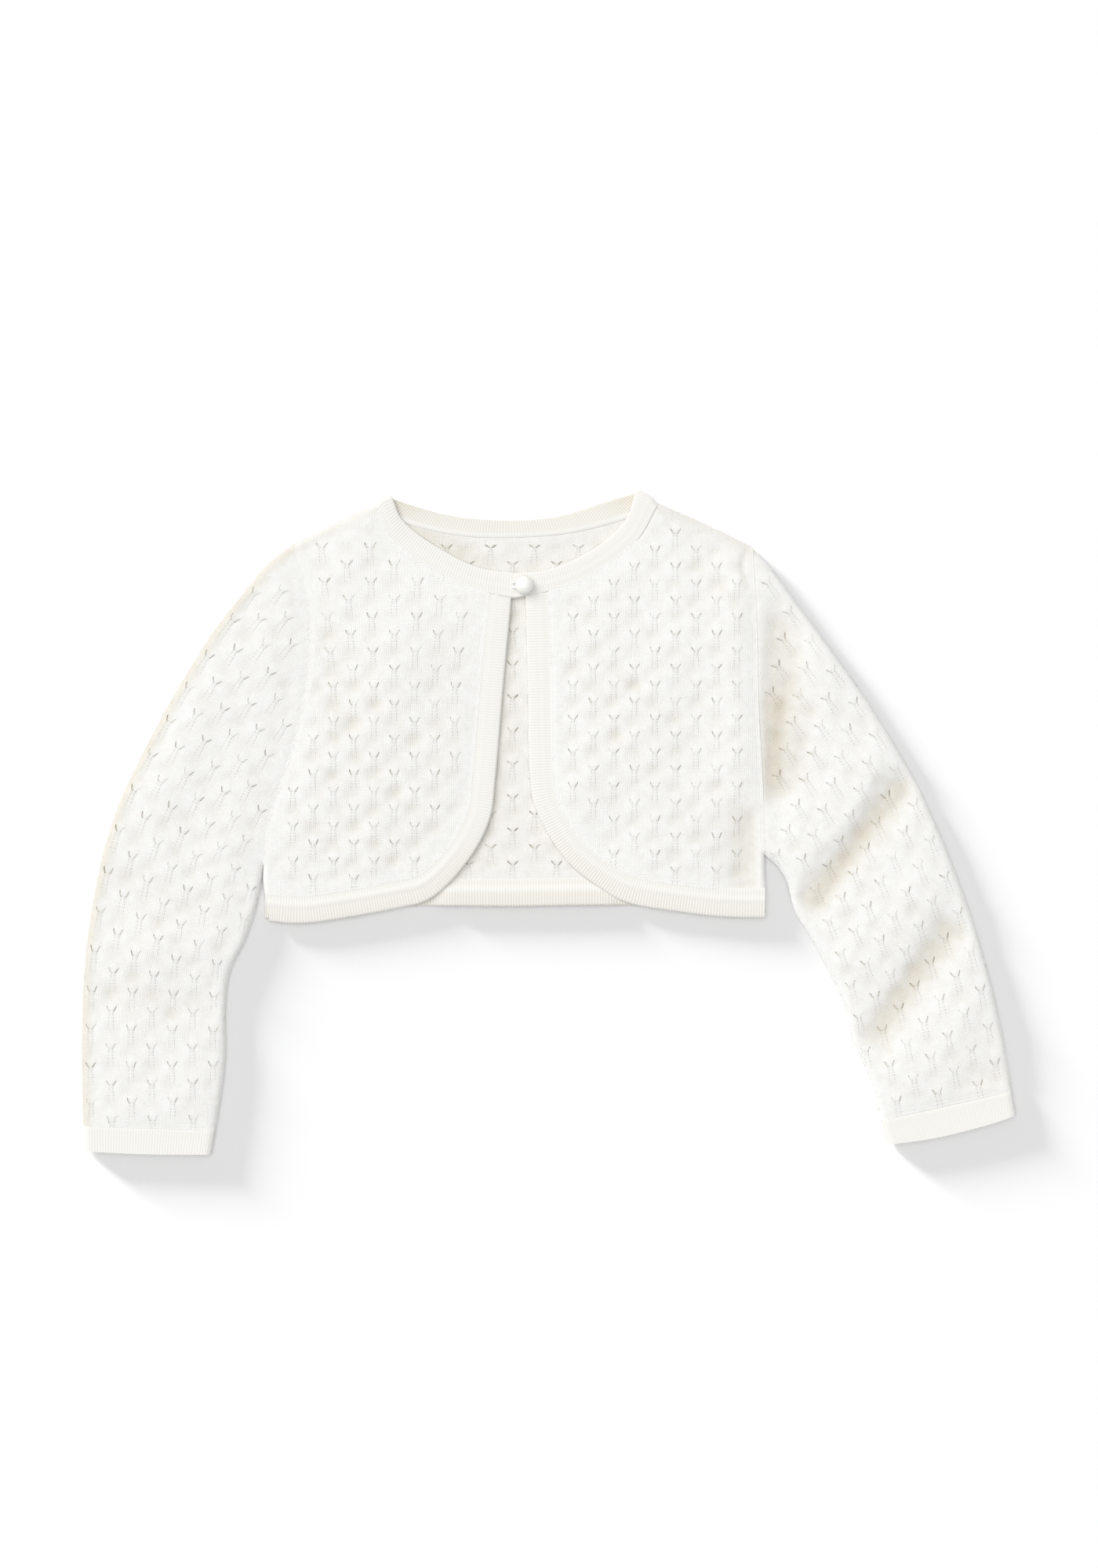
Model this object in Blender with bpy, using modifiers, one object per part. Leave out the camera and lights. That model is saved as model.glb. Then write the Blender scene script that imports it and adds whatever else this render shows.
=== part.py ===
"""A child's pointelle cropped cardigan, laid flat with its front up.

Lengths in the tables are millimetres. +X is the wearer's left, +Y runs towards the neck and
+Z up from the surface that the cardigan lies on. The origin is on the flat underside of the
back panel, on the centre line. The back lies on the surface, the two fronts lie on the back,
and each sleeve is a flattened tube. A seam keeps a gap of 0.3 mm between its two pieces, and
an armhole one of 0.4 mm.
"""

import math
from collections import namedtuple

import bmesh
import bpy
import numpy as np

METRES = 0.001

# Thickness of each cloth
PANEL_WALL = 2.0
SLEEVE_WALL = 1.8
TRIM_WALL = 2.0

# Gaps between pieces that are sewn together, and how the fronts lie on the back
SEAM_GAP = 0.3
ARMHOLE_GAP = 0.4
FRONT_LEVEL = PANEL_WALL + SEAM_GAP
FRONT_LOFT = 2.2
LEFT_ARMHOLE_LOFT = 1.5

# Share of a panel's wall that is rounded off its outer rim
RIM_CHAMFER = 0.45

# Trims of the front edges and the hem, and how far the free front edges curl up
FRONT_BAND_WIDTH = 14.0
HEM_BAND_WIDTH = 16.0
FRONT_EDGE_CURL = 0.9

# The neckband's rise over its fold at the ends of the shoulder seams, and the steps of both
FOLD_RISE = 1.0
FOLD_STEPS = 6
NECK_STEPS = 17

# The edge-to-edge closing: a pearl button on the left neckband, a thread loop on the right
BUTTON_CENTRE = (5.2, 68.9)
BUTTON_DIAMETER = 10.4
BUTTON_HEIGHT = 4.2
SHANK_DIAMETER = 3.0
SHANK_HEIGHT = 1.9
BUTTON_RIM = 0.9
BUTTON_FOOT_SHARE = 0.86
BUTTON_SIDES = 20
DOME_STEPS = 6
LOOP_THREAD = 1.2
LOOP_RADIUS = 2.5
LOOP_ROOT = (-3.8, 1.2)

# The left neckband reaches past its front band by this much, to carry the button
NECKBAND_TAB = {"right": 0.0, "left": 6.2}

# Sleeve cross-section: the folded edges are round, and the cloth crowns between them
SLEEVE_EDGE_HEIGHT = 2.1
SLEEVE_EDGE_RADIUS = 4.5
SLEEVE_SEAM_HEIGHT = 4.3
SLEEVE_LOWEST = 4.25
SLEEVE_HIGHEST = 7.2
CUFF_HEIGHT = 4.9

Point = namedtuple("Point", "x y")
Sleeve = namedtuple("Sleeve", "crown outer inner")
Fold = namedtuple("Fold", "x0 y0 x1 y1 width height")
BackHem = namedtuple("BackHem", "x seam edge")
Ring = namedtuple("Ring", "across height")

SIDES = ("right", "left")
SIGN = {"right": -1, "left": 1}

# Shoulder seam, from the armhole to the neckband
SHOULDER = {
    "right": (Point(-126.5, 92.7), Point(-106.5, 102.8), Point(-88.7, 111.5), Point(-80.0, 115.2)),
    "left": (Point(135.4, 91.0), Point(118.4, 99.4), Point(100.4, 107.8), Point(81.7, 115.6)),
}

# Armhole seam, from the underarm to the shoulder
ARMHOLE = {
    "right": (
        Point(-144.2, -91.8),
        Point(-139.8, -63.0),
        Point(-130.0, -34.2),
        Point(-121.5, -0.5),
        Point(-117.2, 35.0),
        Point(-119.6, 66.0),
        Point(-126.5, 92.7),
    ),
    "left": (
        Point(142.6, -85.5),
        Point(140.9, -45.0),
        Point(138.6, 0.0),
        Point(137.8, 36.0),
        Point(136.8, 64.0),
        Point(135.4, 91.0),
    ),
}

# Side seam, from the top of the hem band to the underarm
SIDE_SEAM = {
    "right": (Point(-143.4, -107.8), Point(-144.5, -99.5), Point(-144.2, -91.8)),
    "left": (Point(143.4, -105.6), Point(142.9, -96.0), Point(142.6, -85.5)),
}

# Free edge of each front: down the opening, round the corner and along the hem to the side
FRONT_EDGE = {
    "right": (
        Point(-1.9, 61.8),
        Point(-6.3, 16.0),
        Point(-11.2, -42.0),
        Point(-14.8, -66.0),
        Point(-27.0, -89.0),
        Point(-47.3, -110.0),
        Point(-70.2, -116.8),
        Point(-108.7, -123.6),
        Point(-126.0, -125.0),
        Point(-140.6, -123.8),
    ),
    "left": (
        Point(5.8, 61.9),
        Point(7.2, 10.0),
        Point(8.3, -40.0),
        Point(13.2, -63.0),
        Point(28.6, -88.0),
        Point(49.0, -105.0),
        Point(66.0, -113.6),
        Point(93.2, -118.2),
        Point(118.0, -121.2),
        Point(143.2, -121.8),
    ),
}

# Share of the free edge at which the lower corner of a front turns into its hem
CORNER_SHARE = {"right": 0.58, "left": 0.6}

# Seam between the neckband and each front, from the centre to the shoulder
NECK_SEAM = {
    "right": (
        Point(-1.3, 62.4),
        Point(-19.4, 65.7),
        Point(-33.0, 70.4),
        Point(-47.3, 77.9),
        Point(-60.8, 86.6),
        Point(-71.0, 96.8),
        Point(-78.6, 113.0),
    ),
    "left": (
        Point(-0.5, 62.3),
        Point(20.3, 66.2),
        Point(33.8, 70.2),
        Point(48.2, 77.4),
        Point(62.6, 87.6),
        Point(72.4, 98.8),
        Point(80.2, 113.4),
    ),
}

# Free edge of the neckband on each front
NECK_EDGE = {
    "right": (
        Point(-1.3, 76.4),
        Point(-15.8, 78.0),
        Point(-27.9, 82.0),
        Point(-40.1, 88.4),
        Point(-53.1, 96.5),
        Point(-65.0, 107.0),
        Point(-70.0, 118.4),
    ),
    "left": (
        Point(-0.5, 76.2),
        Point(13.1, 77.0),
        Point(23.0, 79.2),
        Point(34.7, 84.2),
        Point(50.4, 93.6),
        Point(63.4, 107.0),
        Point(68.6, 121.6),
    ),
}

# Neckline of the back, from the right shoulder to the left one
BACK_NECK_SEAM = (
    Point(-60.0, 103.8),
    Point(-30.0, 97.4),
    Point(1.4, 96.6),
    Point(31.0, 99.0),
    Point(59.0, 105.8),
)
BACK_NECK_EDGE = (
    Point(-53.0, 112.8),
    Point(-31.0, 107.9),
    Point(-3.0, 106.2),
    Point(24.0, 108.4),
    Point(50.0, 116.2),
)

# Hem of the back, from side to side
BACK_HEM = (
    BackHem(-143.4, -107.8, -122.4),
    BackHem(-110.0, -106.4, -121.4),
    BackHem(-60.0, -100.4, -115.4),
    BackHem(0.0, -99.4, -115.2),
    BackHem(60.0, -99.0, -114.6),
    BackHem(110.0, -103.4, -118.4),
    BackHem(143.4, -105.6, -120.8),
)

# Edges of each laid sleeve, from the body to the seam of the cuff
SLEEVES = {
    "right": Sleeve(
        crown=6.3,
        outer=(
            Point(-126.5, 92.7),
            Point(-141.8, 81.0),
            Point(-157.1, 63.0),
            Point(-177.3, 36.0),
            Point(-208.8, -18.0),
            Point(-232.7, -72.0),
            Point(-245.0, -132.0),
            Point(-248.4, -185.0),
            Point(-247.8, -240.4),
        ),
        inner=(
            Point(-144.2, -91.8),
            Point(-148.3, -115.0),
            Point(-155.0, -135.0),
            Point(-163.6, -153.0),
            Point(-166.2, -174.0),
            Point(-166.4, -206.0),
            Point(-171.6, -242.6),
        ),
    ),
    "left": Sleeve(
        crown=6.6,
        outer=(
            Point(135.4, 91.0),
            Point(144.9, 80.8),
            Point(158.9, 62.0),
            Point(198.0, 8.0),
            Point(230.0, -45.0),
            Point(253.6, -99.0),
            Point(270.2, -150.0),
            Point(279.6, -190.0),
            Point(284.6, -220.2),
        ),
        inner=(
            Point(142.6, -85.5),
            Point(149.8, -91.6),
            Point(155.8, -101.0),
            Point(160.4, -118.0),
            Point(171.0, -136.0),
            Point(187.0, -168.0),
            Point(192.6, -190.0),
            Point(203.0, -214.0),
            Point(209.4, -237.0),
        ),
    ),
}

# Free end of each cuff, from the outer edge to the inner one
CUFF_END = {
    "right": (Point(-247.2, -255.6), Point(-210.0, -257.2), Point(-174.2, -257.4)),
    "left": (Point(287.0, -235.0), Point(268.0, -241.2), Point(240.0, -248.0), Point(213.2, -251.8)),
}

# Largest folds of the sleeves: a ridge has a positive height, a trough a negative one
FOLDS = {
    "right": (
        Fold(-238.0, -160.0, -168.0, -164.0, 9.0, -1.5),
        Fold(-240.0, -138.0, -170.0, -142.0, 11.0, 0.8),
        Fold(-236.0, -96.0, -176.0, -120.0, 10.0, -0.7),
        Fold(-160.0, 40.0, -205.0, -60.0, 13.0, 0.7),
        Fold(-150.0, 66.0, -160.0, -20.0, 12.0, -0.8),
    ),
    "left": (
        Fold(147.0, 62.0, 151.0, -58.0, 13.0, -2.2),
        Fold(206.0, -10.0, 160.0, -76.0, 14.0, 1.3),
        Fold(222.0, -38.0, 164.0, -114.0, 9.0, -3.0),
        Fold(240.0, -82.0, 184.0, -142.0, 12.0, 1.1),
        Fold(252.0, -112.0, 196.0, -184.0, 10.0, -2.6),
        Fold(266.0, -146.0, 214.0, -206.0, 11.0, 0.9),
        Fold(278.0, -204.0, 246.0, -216.0, 8.0, -1.2),
    ),
}

# Section of a flat trim: across from seam to free edge, height in walls, with its linked seam raised
TRIM_SECTION = (
    Ring(0.0, 0.2),
    Ring(0.0, 0.85),
    Ring(0.06, 1.0),
    Ring(0.2, 1.0),
    Ring(0.26, 1.0),
    Ring(0.94, 1.0),
    Ring(1.0, 0.7),
    Ring(1.0, 0.25),
    Ring(0.95, 0.0),
    Ring(0.04, 0.0),
)
RIDGE_COLUMNS = (2, 3)
FRONT_RIDGE = 0.1
HEM_RIDGE = 0.35


def curve(points):
    """A smooth curve through the points, as a function of the share of its length."""
    points = np.array([tuple(point) for point in points], float)
    before = 2 * points[:1] - points[1:2]
    after = 2 * points[-1:] - points[-2:-1]
    known = np.concatenate([before, points, after])
    share = np.linspace(0, 1, 17)[:-1, None]
    samples = []
    for a, b, c, d in zip(known[:-3], known[1:-2], known[2:-1], known[3:]):
        out = b - a if len(points) == 2 else (c - a) / 2
        into = c - b if len(points) == 2 else (d - b) / 2
        cubic = 2 * (b - c) + out + into
        square = 3 * (c - b) - 2 * out - into
        samples.append(cubic * share**3 + square * share**2 + out * share + b)
    samples = np.concatenate(samples + [points[-1:]])
    steps = np.linalg.norm(np.diff(samples, axis=0), axis=1)
    length = np.concatenate([[0], np.cumsum(steps)])

    def at(shares):
        wanted = np.asarray(shares, float) * length[-1]
        return np.stack([np.interp(wanted, length, samples[:, k]) for k in range(2)], axis=-1)

    at.length = length[-1]
    return at


def part_of(line, start, end):
    """The stretch of a curve between two shares of its length, turned round where end is the smaller."""
    return lambda shares: line(start + (end - start) * np.asarray(shares, float))


def chain(lines, corners):
    """Curves that meet end to end, as one, with their corners at the given shares."""
    ends = [0.0, *corners, 1.0]

    def at(shares):
        shares = np.asarray(shares, float)
        points = lines[0](np.zeros_like(shares))
        for line, start, end in zip(lines, ends, ends[1:]):
            on_line = line(np.clip((shares - start) / (end - start), 0, 1))
            points = np.where(shares[..., None] >= start, on_line, points)
        return points

    return at


def offset(points, distance):
    """The points of a line in the plane, moved square to it, to its left where distance is positive."""
    along = np.gradient(points, axis=0)
    along /= np.linalg.norm(along, axis=1, keepdims=True)
    return points + distance * np.stack([-along[:, 1], along[:, 0]], axis=1)


def patch(bottom, top, start, end, across, along):
    """The points of a four-sided piece of cloth, blended between the curves of its sides."""
    u = across[None, :, None]
    v = along[:, None, None]
    low, high = bottom(across)[None], top(across)[None]
    near, far = start(along)[:, None], end(along)[:, None]
    corners = (1 - v) * ((1 - u) * low[:, :1] + u * low[:, -1:])
    corners = corners + v * ((1 - u) * high[:, :1] + u * high[:, -1:])
    return (1 - v) * low + v * high + (1 - u) * near + u * far - corners


def with_height(points, height):
    """Points of the plane with their height as a third column."""
    return np.concatenate([points, np.broadcast_to(height, points.shape[:-1])[..., None]], axis=-1)


def swell(share, ease=0.35):
    """0 at the start and 1 from the given share on, rising steeply first as resting cloth does."""
    return 1 - (1 - np.clip(share / ease, 0, 1)) ** 2


def ease_in(share):
    """A soft step from 0 to 1."""
    share = np.clip(share, 0, 1)
    return share * share * (3 - 2 * share)


def fold_height(x, y, folds):
    """Sum of the ridges and troughs at a point of the plane."""
    height = np.zeros_like(x)
    for fold in folds:
        run = np.array([fold.x1 - fold.x0, fold.y1 - fold.y0])
        length = np.linalg.norm(run)
        along = ((x - fold.x0) * run[0] + (y - fold.y0) * run[1]) / length**2
        beside = ((y - fold.y0) * run[0] - (x - fold.x0) * run[1]) / length
        taper = ease_in(along / 0.2 + 0.5) * ease_in((1 - along) / 0.2 + 0.5)
        height += fold.height * taper * np.exp(-((beside / fold.width) ** 2))
    return height


def new_object(name, bm, material, smooth_angle=40):
    """An object with a recalculated, closed mesh, in the cardigan's collection."""
    bmesh.ops.recalc_face_normals(bm, faces=bm.faces[:])
    mesh = bpy.data.meshes.new(name)
    bm.to_mesh(mesh)
    bm.free()
    mesh.materials.append(material)
    mesh.shade_smooth()
    mesh.set_sharp_from_angle(angle=math.radians(smooth_angle))
    item = bpy.data.objects.new(name, mesh)
    bpy.data.collections["pointelle_cardigan"].objects.link(item)
    return item


def wall(name, face, back, material, is_tube=False):
    """A closed wall between two equal grids of points: a slab with four rims, or a tube with two."""
    rows, columns = face.shape[:2]
    bm = bmesh.new()
    grids = []
    for grid in (face, back):
        verts = [bm.verts.new(point) for point in grid.reshape(-1, 3) * METRES]
        grids.append([verts[row * columns : (row + 1) * columns] for row in range(rows)])
    last = columns if is_tube else columns - 1
    pairs = [(column, (column + 1) % columns) for column in range(last)]

    def bridge(one, two, steps):
        for here, beside in steps:
            bm.faces.new((one[here], one[beside], two[beside], two[here]))

    for grid in grids:
        for row, above in zip(grid, grid[1:]):
            bridge(row, above, pairs)
    front, rear = grids
    for end in (0, -1):
        bridge(front[end], rear[end], pairs)
    if not is_tube:
        steps = [(row, row + 1) for row in range(rows - 1)]
        for end in (0, -1):
            bridge([row[end] for row in front], [row[end] for row in rear], steps)
    return new_object(name, bm, material)


def ribbon(name, rings, material):
    """A closed strip lofted through equal rings of points, with both ends capped."""
    bm = bmesh.new()
    loops = [[bm.verts.new(point * METRES) for point in ring] for ring in rings]
    for one, two in zip(loops, loops[1:]):
        for here in range(len(one)):
            beside = (here + 1) % len(one)
            bm.faces.new((one[here], one[beside], two[beside], two[here]))
    bm.faces.new(loops[0])
    bm.faces.new(loops[-1])
    return new_object(name, bm, material)


def trim_ring(seam, edge, normal, ridge=0.0):
    """One ring of a trim, from its seam point, its free edge point and the direction its face looks."""
    seam, edge, normal = (np.asarray(vector, float) for vector in (seam, edge, normal))
    start = SEAM_GAP / np.linalg.norm(edge - seam)
    ring = []
    for column, point in enumerate(TRIM_SECTION):
        across = start + (1 - start) * point.across
        height = point.height + (ridge if column in RIDGE_COLUMNS else 0)
        ring.append(seam + (edge - seam) * across + normal * (height * TRIM_WALL))
    return np.array(ring)


def front_band_lines(side):
    """Free edge and seam of a front band, from the neck, round the corner, to the side seam."""
    shares = np.linspace(0, 1, 36)
    edge = curve(FRONT_EDGE[side])(shares)
    width = FRONT_BAND_WIDTH + (HEM_BAND_WIDTH - FRONT_BAND_WIDTH) * ease_in((shares - 0.5) / 0.25)
    along = np.gradient(edge, axis=0)
    along /= np.linalg.norm(along, axis=1, keepdims=True)
    inward = np.stack([along[:, 1], -along[:, 0]], axis=1) * -SIGN[side]
    seam = edge + inward * width[:, None]
    neck = curve(NECK_SEAM[side])
    seam[0] = neck((NECKBAND_TAB[side] + FRONT_BAND_WIDTH) / neck.length) - (0, SEAM_GAP)
    seam[-1] = SIDE_SEAM[side][0]
    return shares, edge, seam


def make_front_band(side, material):
    """The trim of one front: its opening edge, its round corner and its hem, in one strip."""
    shares, edge, seam = front_band_lines(side)
    lift = FRONT_EDGE_CURL * np.sin(math.pi * np.clip(shares / 0.85, 0, 1))
    ridge = FRONT_RIDGE + (HEM_RIDGE - FRONT_RIDGE) * ease_in((shares - 0.45) / 0.25)
    rings = []
    for row in range(len(shares)):
        low = (*seam[row], FRONT_LEVEL)
        high = (*edge[row], FRONT_LEVEL + lift[row])
        rings.append(trim_ring(low, high, (0, 0, 1), ridge[row]))
    return ribbon(f"front_band_{side}", rings, material)


def make_front(side, material):
    """One front panel, from the side seam and armhole to the seam of its band."""
    corner = CORNER_SHARE[side]
    _, _, seam = front_band_lines(side)
    seam[0] += (0, SEAM_GAP)
    band = curve(seam)
    neck = curve(NECK_SEAM[side])
    peak, neck_start = 0.4, 0.43
    neck_line = part_of(neck, 1.0, (NECKBAND_TAB[side] + FRONT_BAND_WIDTH) / neck.length)
    link = curve((SHOULDER[side][-1], NECK_SEAM[side][-1]))
    top = chain((curve(SHOULDER[side]), link, neck_line), (peak, neck_start))
    outside = curve(SIDE_SEAM[side] + ARMHOLE[side][1:])
    across = np.concatenate([[0, 0.009], np.linspace(0, peak, 6)[1:], np.linspace(neck_start, 1, 11)])
    along = np.concatenate([np.linspace(0, 1, 23)[:-1], [0.994, 1]])
    plane = patch(part_of(band, 1.0, corner), top, outside, part_of(band, corner, 0.0), across, along)
    u, v = across[None, :], along[:, None]
    loft = swell(u) * swell(1 - u) * swell(v) * swell(1 - v)
    under = FRONT_LEVEL + FRONT_LOFT * loft
    if side == "left":
        beside_sleeve = (1 - ease_in(u / 0.3)) * ease_in((v - 0.1) / 0.25) * ease_in((0.97 - v) / 0.2)
        under = under + LEFT_ARMHOLE_LOFT * beside_sleeve
    upper = under + PANEL_WALL
    upper[:, 0] -= RIM_CHAMFER * PANEL_WALL
    upper[-1, 1:] -= RIM_CHAMFER * PANEL_WALL
    return wall(f"front_{side}", with_height(plane, upper), with_height(plane, under), material)


def make_back(material):
    """The back panel, flat on the surface, with its rim rounded up from it."""
    outside = {side: curve(SIDE_SEAM[side] + ARMHOLE[side][1:]) for side in SIDES}
    ends = {side: (SHOULDER[side][-1], NECK_SEAM[side][-1]) for side in SIDES}
    neck = curve((NECK_SEAM["right"][-1],) + BACK_NECK_SEAM + (NECK_SEAM["left"][-1],))
    lines = (
        curve(SHOULDER["right"]),
        curve(ends["right"]),
        neck,
        curve(ends["left"][::-1]),
        curve(SHOULDER["left"][::-1]),
    )
    peak, neck_start = 0.2, 0.21
    top = chain(lines, (peak, neck_start, 1 - neck_start, 1 - peak))
    hem = curve([Point(row.x, row.seam) for row in BACK_HEM])
    left_half = np.concatenate([[0, 0.004], np.linspace(0, peak, 5)[1:]])
    middle = np.linspace(neck_start, 1 - neck_start, NECK_STEPS)
    across = np.concatenate([left_half, middle, 1 - left_half[::-1]])
    along = np.concatenate([np.linspace(0, 1, 17)[:-1], [0.994, 1]])
    plane = patch(hem, top, outside["right"], outside["left"], across, along)
    under = np.zeros(plane.shape[:2])
    under[:, (0, -1)] = RIM_CHAMFER * PANEL_WALL
    under[-1] = RIM_CHAMFER * PANEL_WALL
    return wall("back_panel", with_height(plane, PANEL_WALL), with_height(plane, under), material)


def make_back_hem(material):
    """The ribbed band along the hem of the back."""
    seam = curve([Point(row.x, row.seam) for row in BACK_HEM])
    edge = curve([Point(row.x, row.edge) for row in BACK_HEM])
    rings = []
    for share in np.linspace(0, 1, 22):
        rings.append(trim_ring((*seam(share), 0), (*edge(share), 0), (0, 0, 1)))
    return ribbon("back_hem_band", rings, material)


def make_neckband(material):
    """The ribbed band round the neck, folded over at both ends of the shoulders."""
    middle = TRIM_WALL / 2
    level = FRONT_LEVEL + middle
    radius = (level + FOLD_RISE - middle) / 2
    fold_level = middle + radius
    rings = []

    def lay(seam, edge, height, normal):
        centre = np.array([*seam, height]) - np.asarray(normal) * middle
        far = np.array([*edge, height]) - np.asarray(normal) * middle
        rings.append(trim_ring(centre, far, normal))

    def turn_over(side, angles):
        seam, edge = (np.array(line[side][-1], float) for line in (NECK_SEAM, NECK_EDGE))
        across = (edge - seam) / np.linalg.norm(edge - seam)
        outward = np.array([across[1], -across[0]]) * SIGN[side]
        for angle in angles:
            reach = outward * radius * math.cos(angle)
            height = fold_level + radius * math.sin(angle)
            lay(seam + reach, edge + reach, height, (*(outward * math.cos(angle)), math.sin(angle)))

    def lay_front(side, shares):
        seam, edge = curve(NECK_SEAM[side]), curve(NECK_EDGE[side])
        for share in shares:
            rise = FOLD_RISE * ease_in((share - 0.7) / 0.3)
            lay(seam(share), edge(share), level + rise, (0, 0, 1))

    quarter = math.pi / 2
    bends = np.linspace(quarter, -quarter, FOLD_STEPS + 1)[1:-1]
    shares = np.linspace(0, 1, NECK_STEPS)
    lay_front("right", shares)
    turn_over("right", bends)
    seam = curve((NECK_SEAM["right"][-1],) + BACK_NECK_SEAM + (NECK_SEAM["left"][-1],))
    edge = curve((NECK_EDGE["right"][-1],) + BACK_NECK_EDGE + (NECK_EDGE["left"][-1],))
    for share in np.linspace(0, 1, NECK_STEPS):
        lay(seam(share), edge(share), middle, (0, 0, -1))
    turn_over("left", bends[::-1])
    lay_front("left", shares[::-1])
    return ribbon("neckband", rings, material)


def sleeve_columns():
    """Shares across a sleeve, close together near its two folded edges."""
    near = np.array([0.0, 0.012, 0.045])
    middle = np.linspace(0.1, 0.9, 10)
    return np.concatenate([near, middle, 1 - near[::-1]])


def tube_rings(plane, top, thickness):
    """Outer and inner rings of a flattened tube from the points across it and the height of its top."""
    width = np.linalg.norm(np.diff(plane, axis=1), axis=2)
    from_start = np.concatenate([np.zeros((len(plane), 1)), np.cumsum(width, axis=1)], axis=1)
    from_edge = np.minimum(from_start, from_start[:, -1:] - from_start)
    share = np.clip(from_edge / SLEEVE_EDGE_RADIUS, 0, 1)
    round_off = np.sqrt(1 - (1 - share) ** 2)
    over = SLEEVE_EDGE_HEIGHT + (top - SLEEVE_EDGE_HEIGHT) * round_off
    under = SLEEVE_EDGE_HEIGHT * (1 - round_off)
    total = from_start[:, -1:]
    narrowed = thickness + from_start * (total - 2 * thickness) / total
    inner = np.empty_like(plane)
    inner_over = np.empty_like(over)
    inner_under = np.empty_like(under)
    for row in range(len(plane)):
        for axis in range(2):
            inner[row, :, axis] = np.interp(narrowed[row], from_start[row], plane[row, :, axis])
        inner_over[row] = np.interp(narrowed[row], from_start[row], over[row]) - thickness
        inner_under[row] = np.interp(narrowed[row], from_start[row], under[row]) + thickness
    middle = (inner_over[:, (0, -1)] + inner_under[:, (0, -1)]) / 2
    inner_over[:, (0, -1)] = middle
    rings = []
    for points, high, low in ((plane, over, under), (inner, inner_over, inner_under)):
        upper = with_height(points, high)
        lower = with_height(points, low)[:, -2:0:-1]
        rings.append(np.concatenate([upper, lower], axis=1))
    return rings


def part_from_seam(plane, side, gap):
    """The same points with the first row moved off the seam by its gap."""
    plane = plane.copy()
    plane[0] = offset(plane[0], gap * SIGN[side])
    return plane


def cuff_seam(side):
    """The line where a sleeve meets its cuff, from the outer edge to the inner one."""
    sleeve = SLEEVES[side]
    return curve((sleeve.outer[-1], sleeve.inner[-1]))


def make_sleeve(side, material):
    """One sleeve, a flattened tube with its folds raised on top."""
    sleeve = SLEEVES[side]
    across = sleeve_columns()
    along = np.concatenate([[0, 0.015], np.linspace(0, 1, 24)[1:]])
    plane = patch(
        curve(ARMHOLE[side][::-1]), cuff_seam(side), curve(sleeve.outer), curve(sleeve.inner), across, along
    )
    plane = part_from_seam(plane, side, ARMHOLE_GAP)
    u, v = across[None, :], along[:, None]
    crown = (4 * u * (1 - u)) ** 0.6
    top = SLEEVE_SEAM_HEIGHT + (sleeve.crown - SLEEVE_SEAM_HEIGHT) * crown * swell(v, 0.08)
    folds = fold_height(plane[..., 0], plane[..., 1], FOLDS[side])
    top = top + folds * swell(v, 0.06) * swell(1 - v, 0.08)
    top = np.clip(top, SLEEVE_LOWEST, SLEEVE_HIGHEST)
    outer, inner = tube_rings(plane, top, SLEEVE_WALL)
    return wall(f"sleeve_{side}", outer, inner, material, is_tube=True)


def make_cuff(side, material):
    """One ribbed cuff, a short flattened tube at the end of its sleeve."""
    across = sleeve_columns()
    along = np.array([0, 0.1, 0.5, 1])
    seam, end = cuff_seam(side), curve(CUFF_END[side])
    outer_edge = curve((seam(0), end(0)))
    inner_edge = curve((seam(1), end(1)))
    plane = part_from_seam(patch(seam, end, outer_edge, inner_edge, across, along), side, SEAM_GAP)
    top = np.full(plane.shape[:2], CUFF_HEIGHT)
    outer, inner = tube_rings(plane, top, SLEEVE_WALL)
    return wall(f"cuff_{side}", outer, inner, material, is_tube=True)


def make_button(material):
    """A pearl button: a dome with a short shank, turned about its axis and standing on the neckband."""
    foot = FRONT_LEVEL + TRIM_WALL + SEAM_GAP
    base = foot + SHANK_HEIGHT
    radius = BUTTON_DIAMETER / 2
    profile = [(0.0, base + BUTTON_HEIGHT)]
    for step in range(DOME_STEPS - 1, -1, -1):
        angle = math.pi / 2 * step / DOME_STEPS
        rise = BUTTON_RIM + (BUTTON_HEIGHT - BUTTON_RIM) * math.sin(angle)
        profile.append((radius * math.cos(angle), base + rise))
    profile += [(BUTTON_FOOT_SHARE * radius, base), (SHANK_DIAMETER / 2, base)]
    profile += [(SHANK_DIAMETER / 2, foot), (0.0, foot)]
    mesh = bpy.data.meshes.new("button")
    points = [(x * METRES, 0, z * METRES) for x, z in profile]
    mesh.from_pydata(points, [(start, start + 1) for start in range(len(points) - 1)], [])
    mesh.materials.append(material)
    item = bpy.data.objects.new("button", mesh)
    item.location = (BUTTON_CENTRE[0] * METRES, BUTTON_CENTRE[1] * METRES, 0)
    bpy.data.collections["pointelle_cardigan"].objects.link(item)
    turn = item.modifiers.new("Turn", "SCREW")
    turn.steps = BUTTON_SIDES
    turn.render_steps = BUTTON_SIDES
    turn.use_merge_vertices = True
    turn.merge_threshold = 0.00001
    turn.use_smooth_shade = True
    return item


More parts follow.
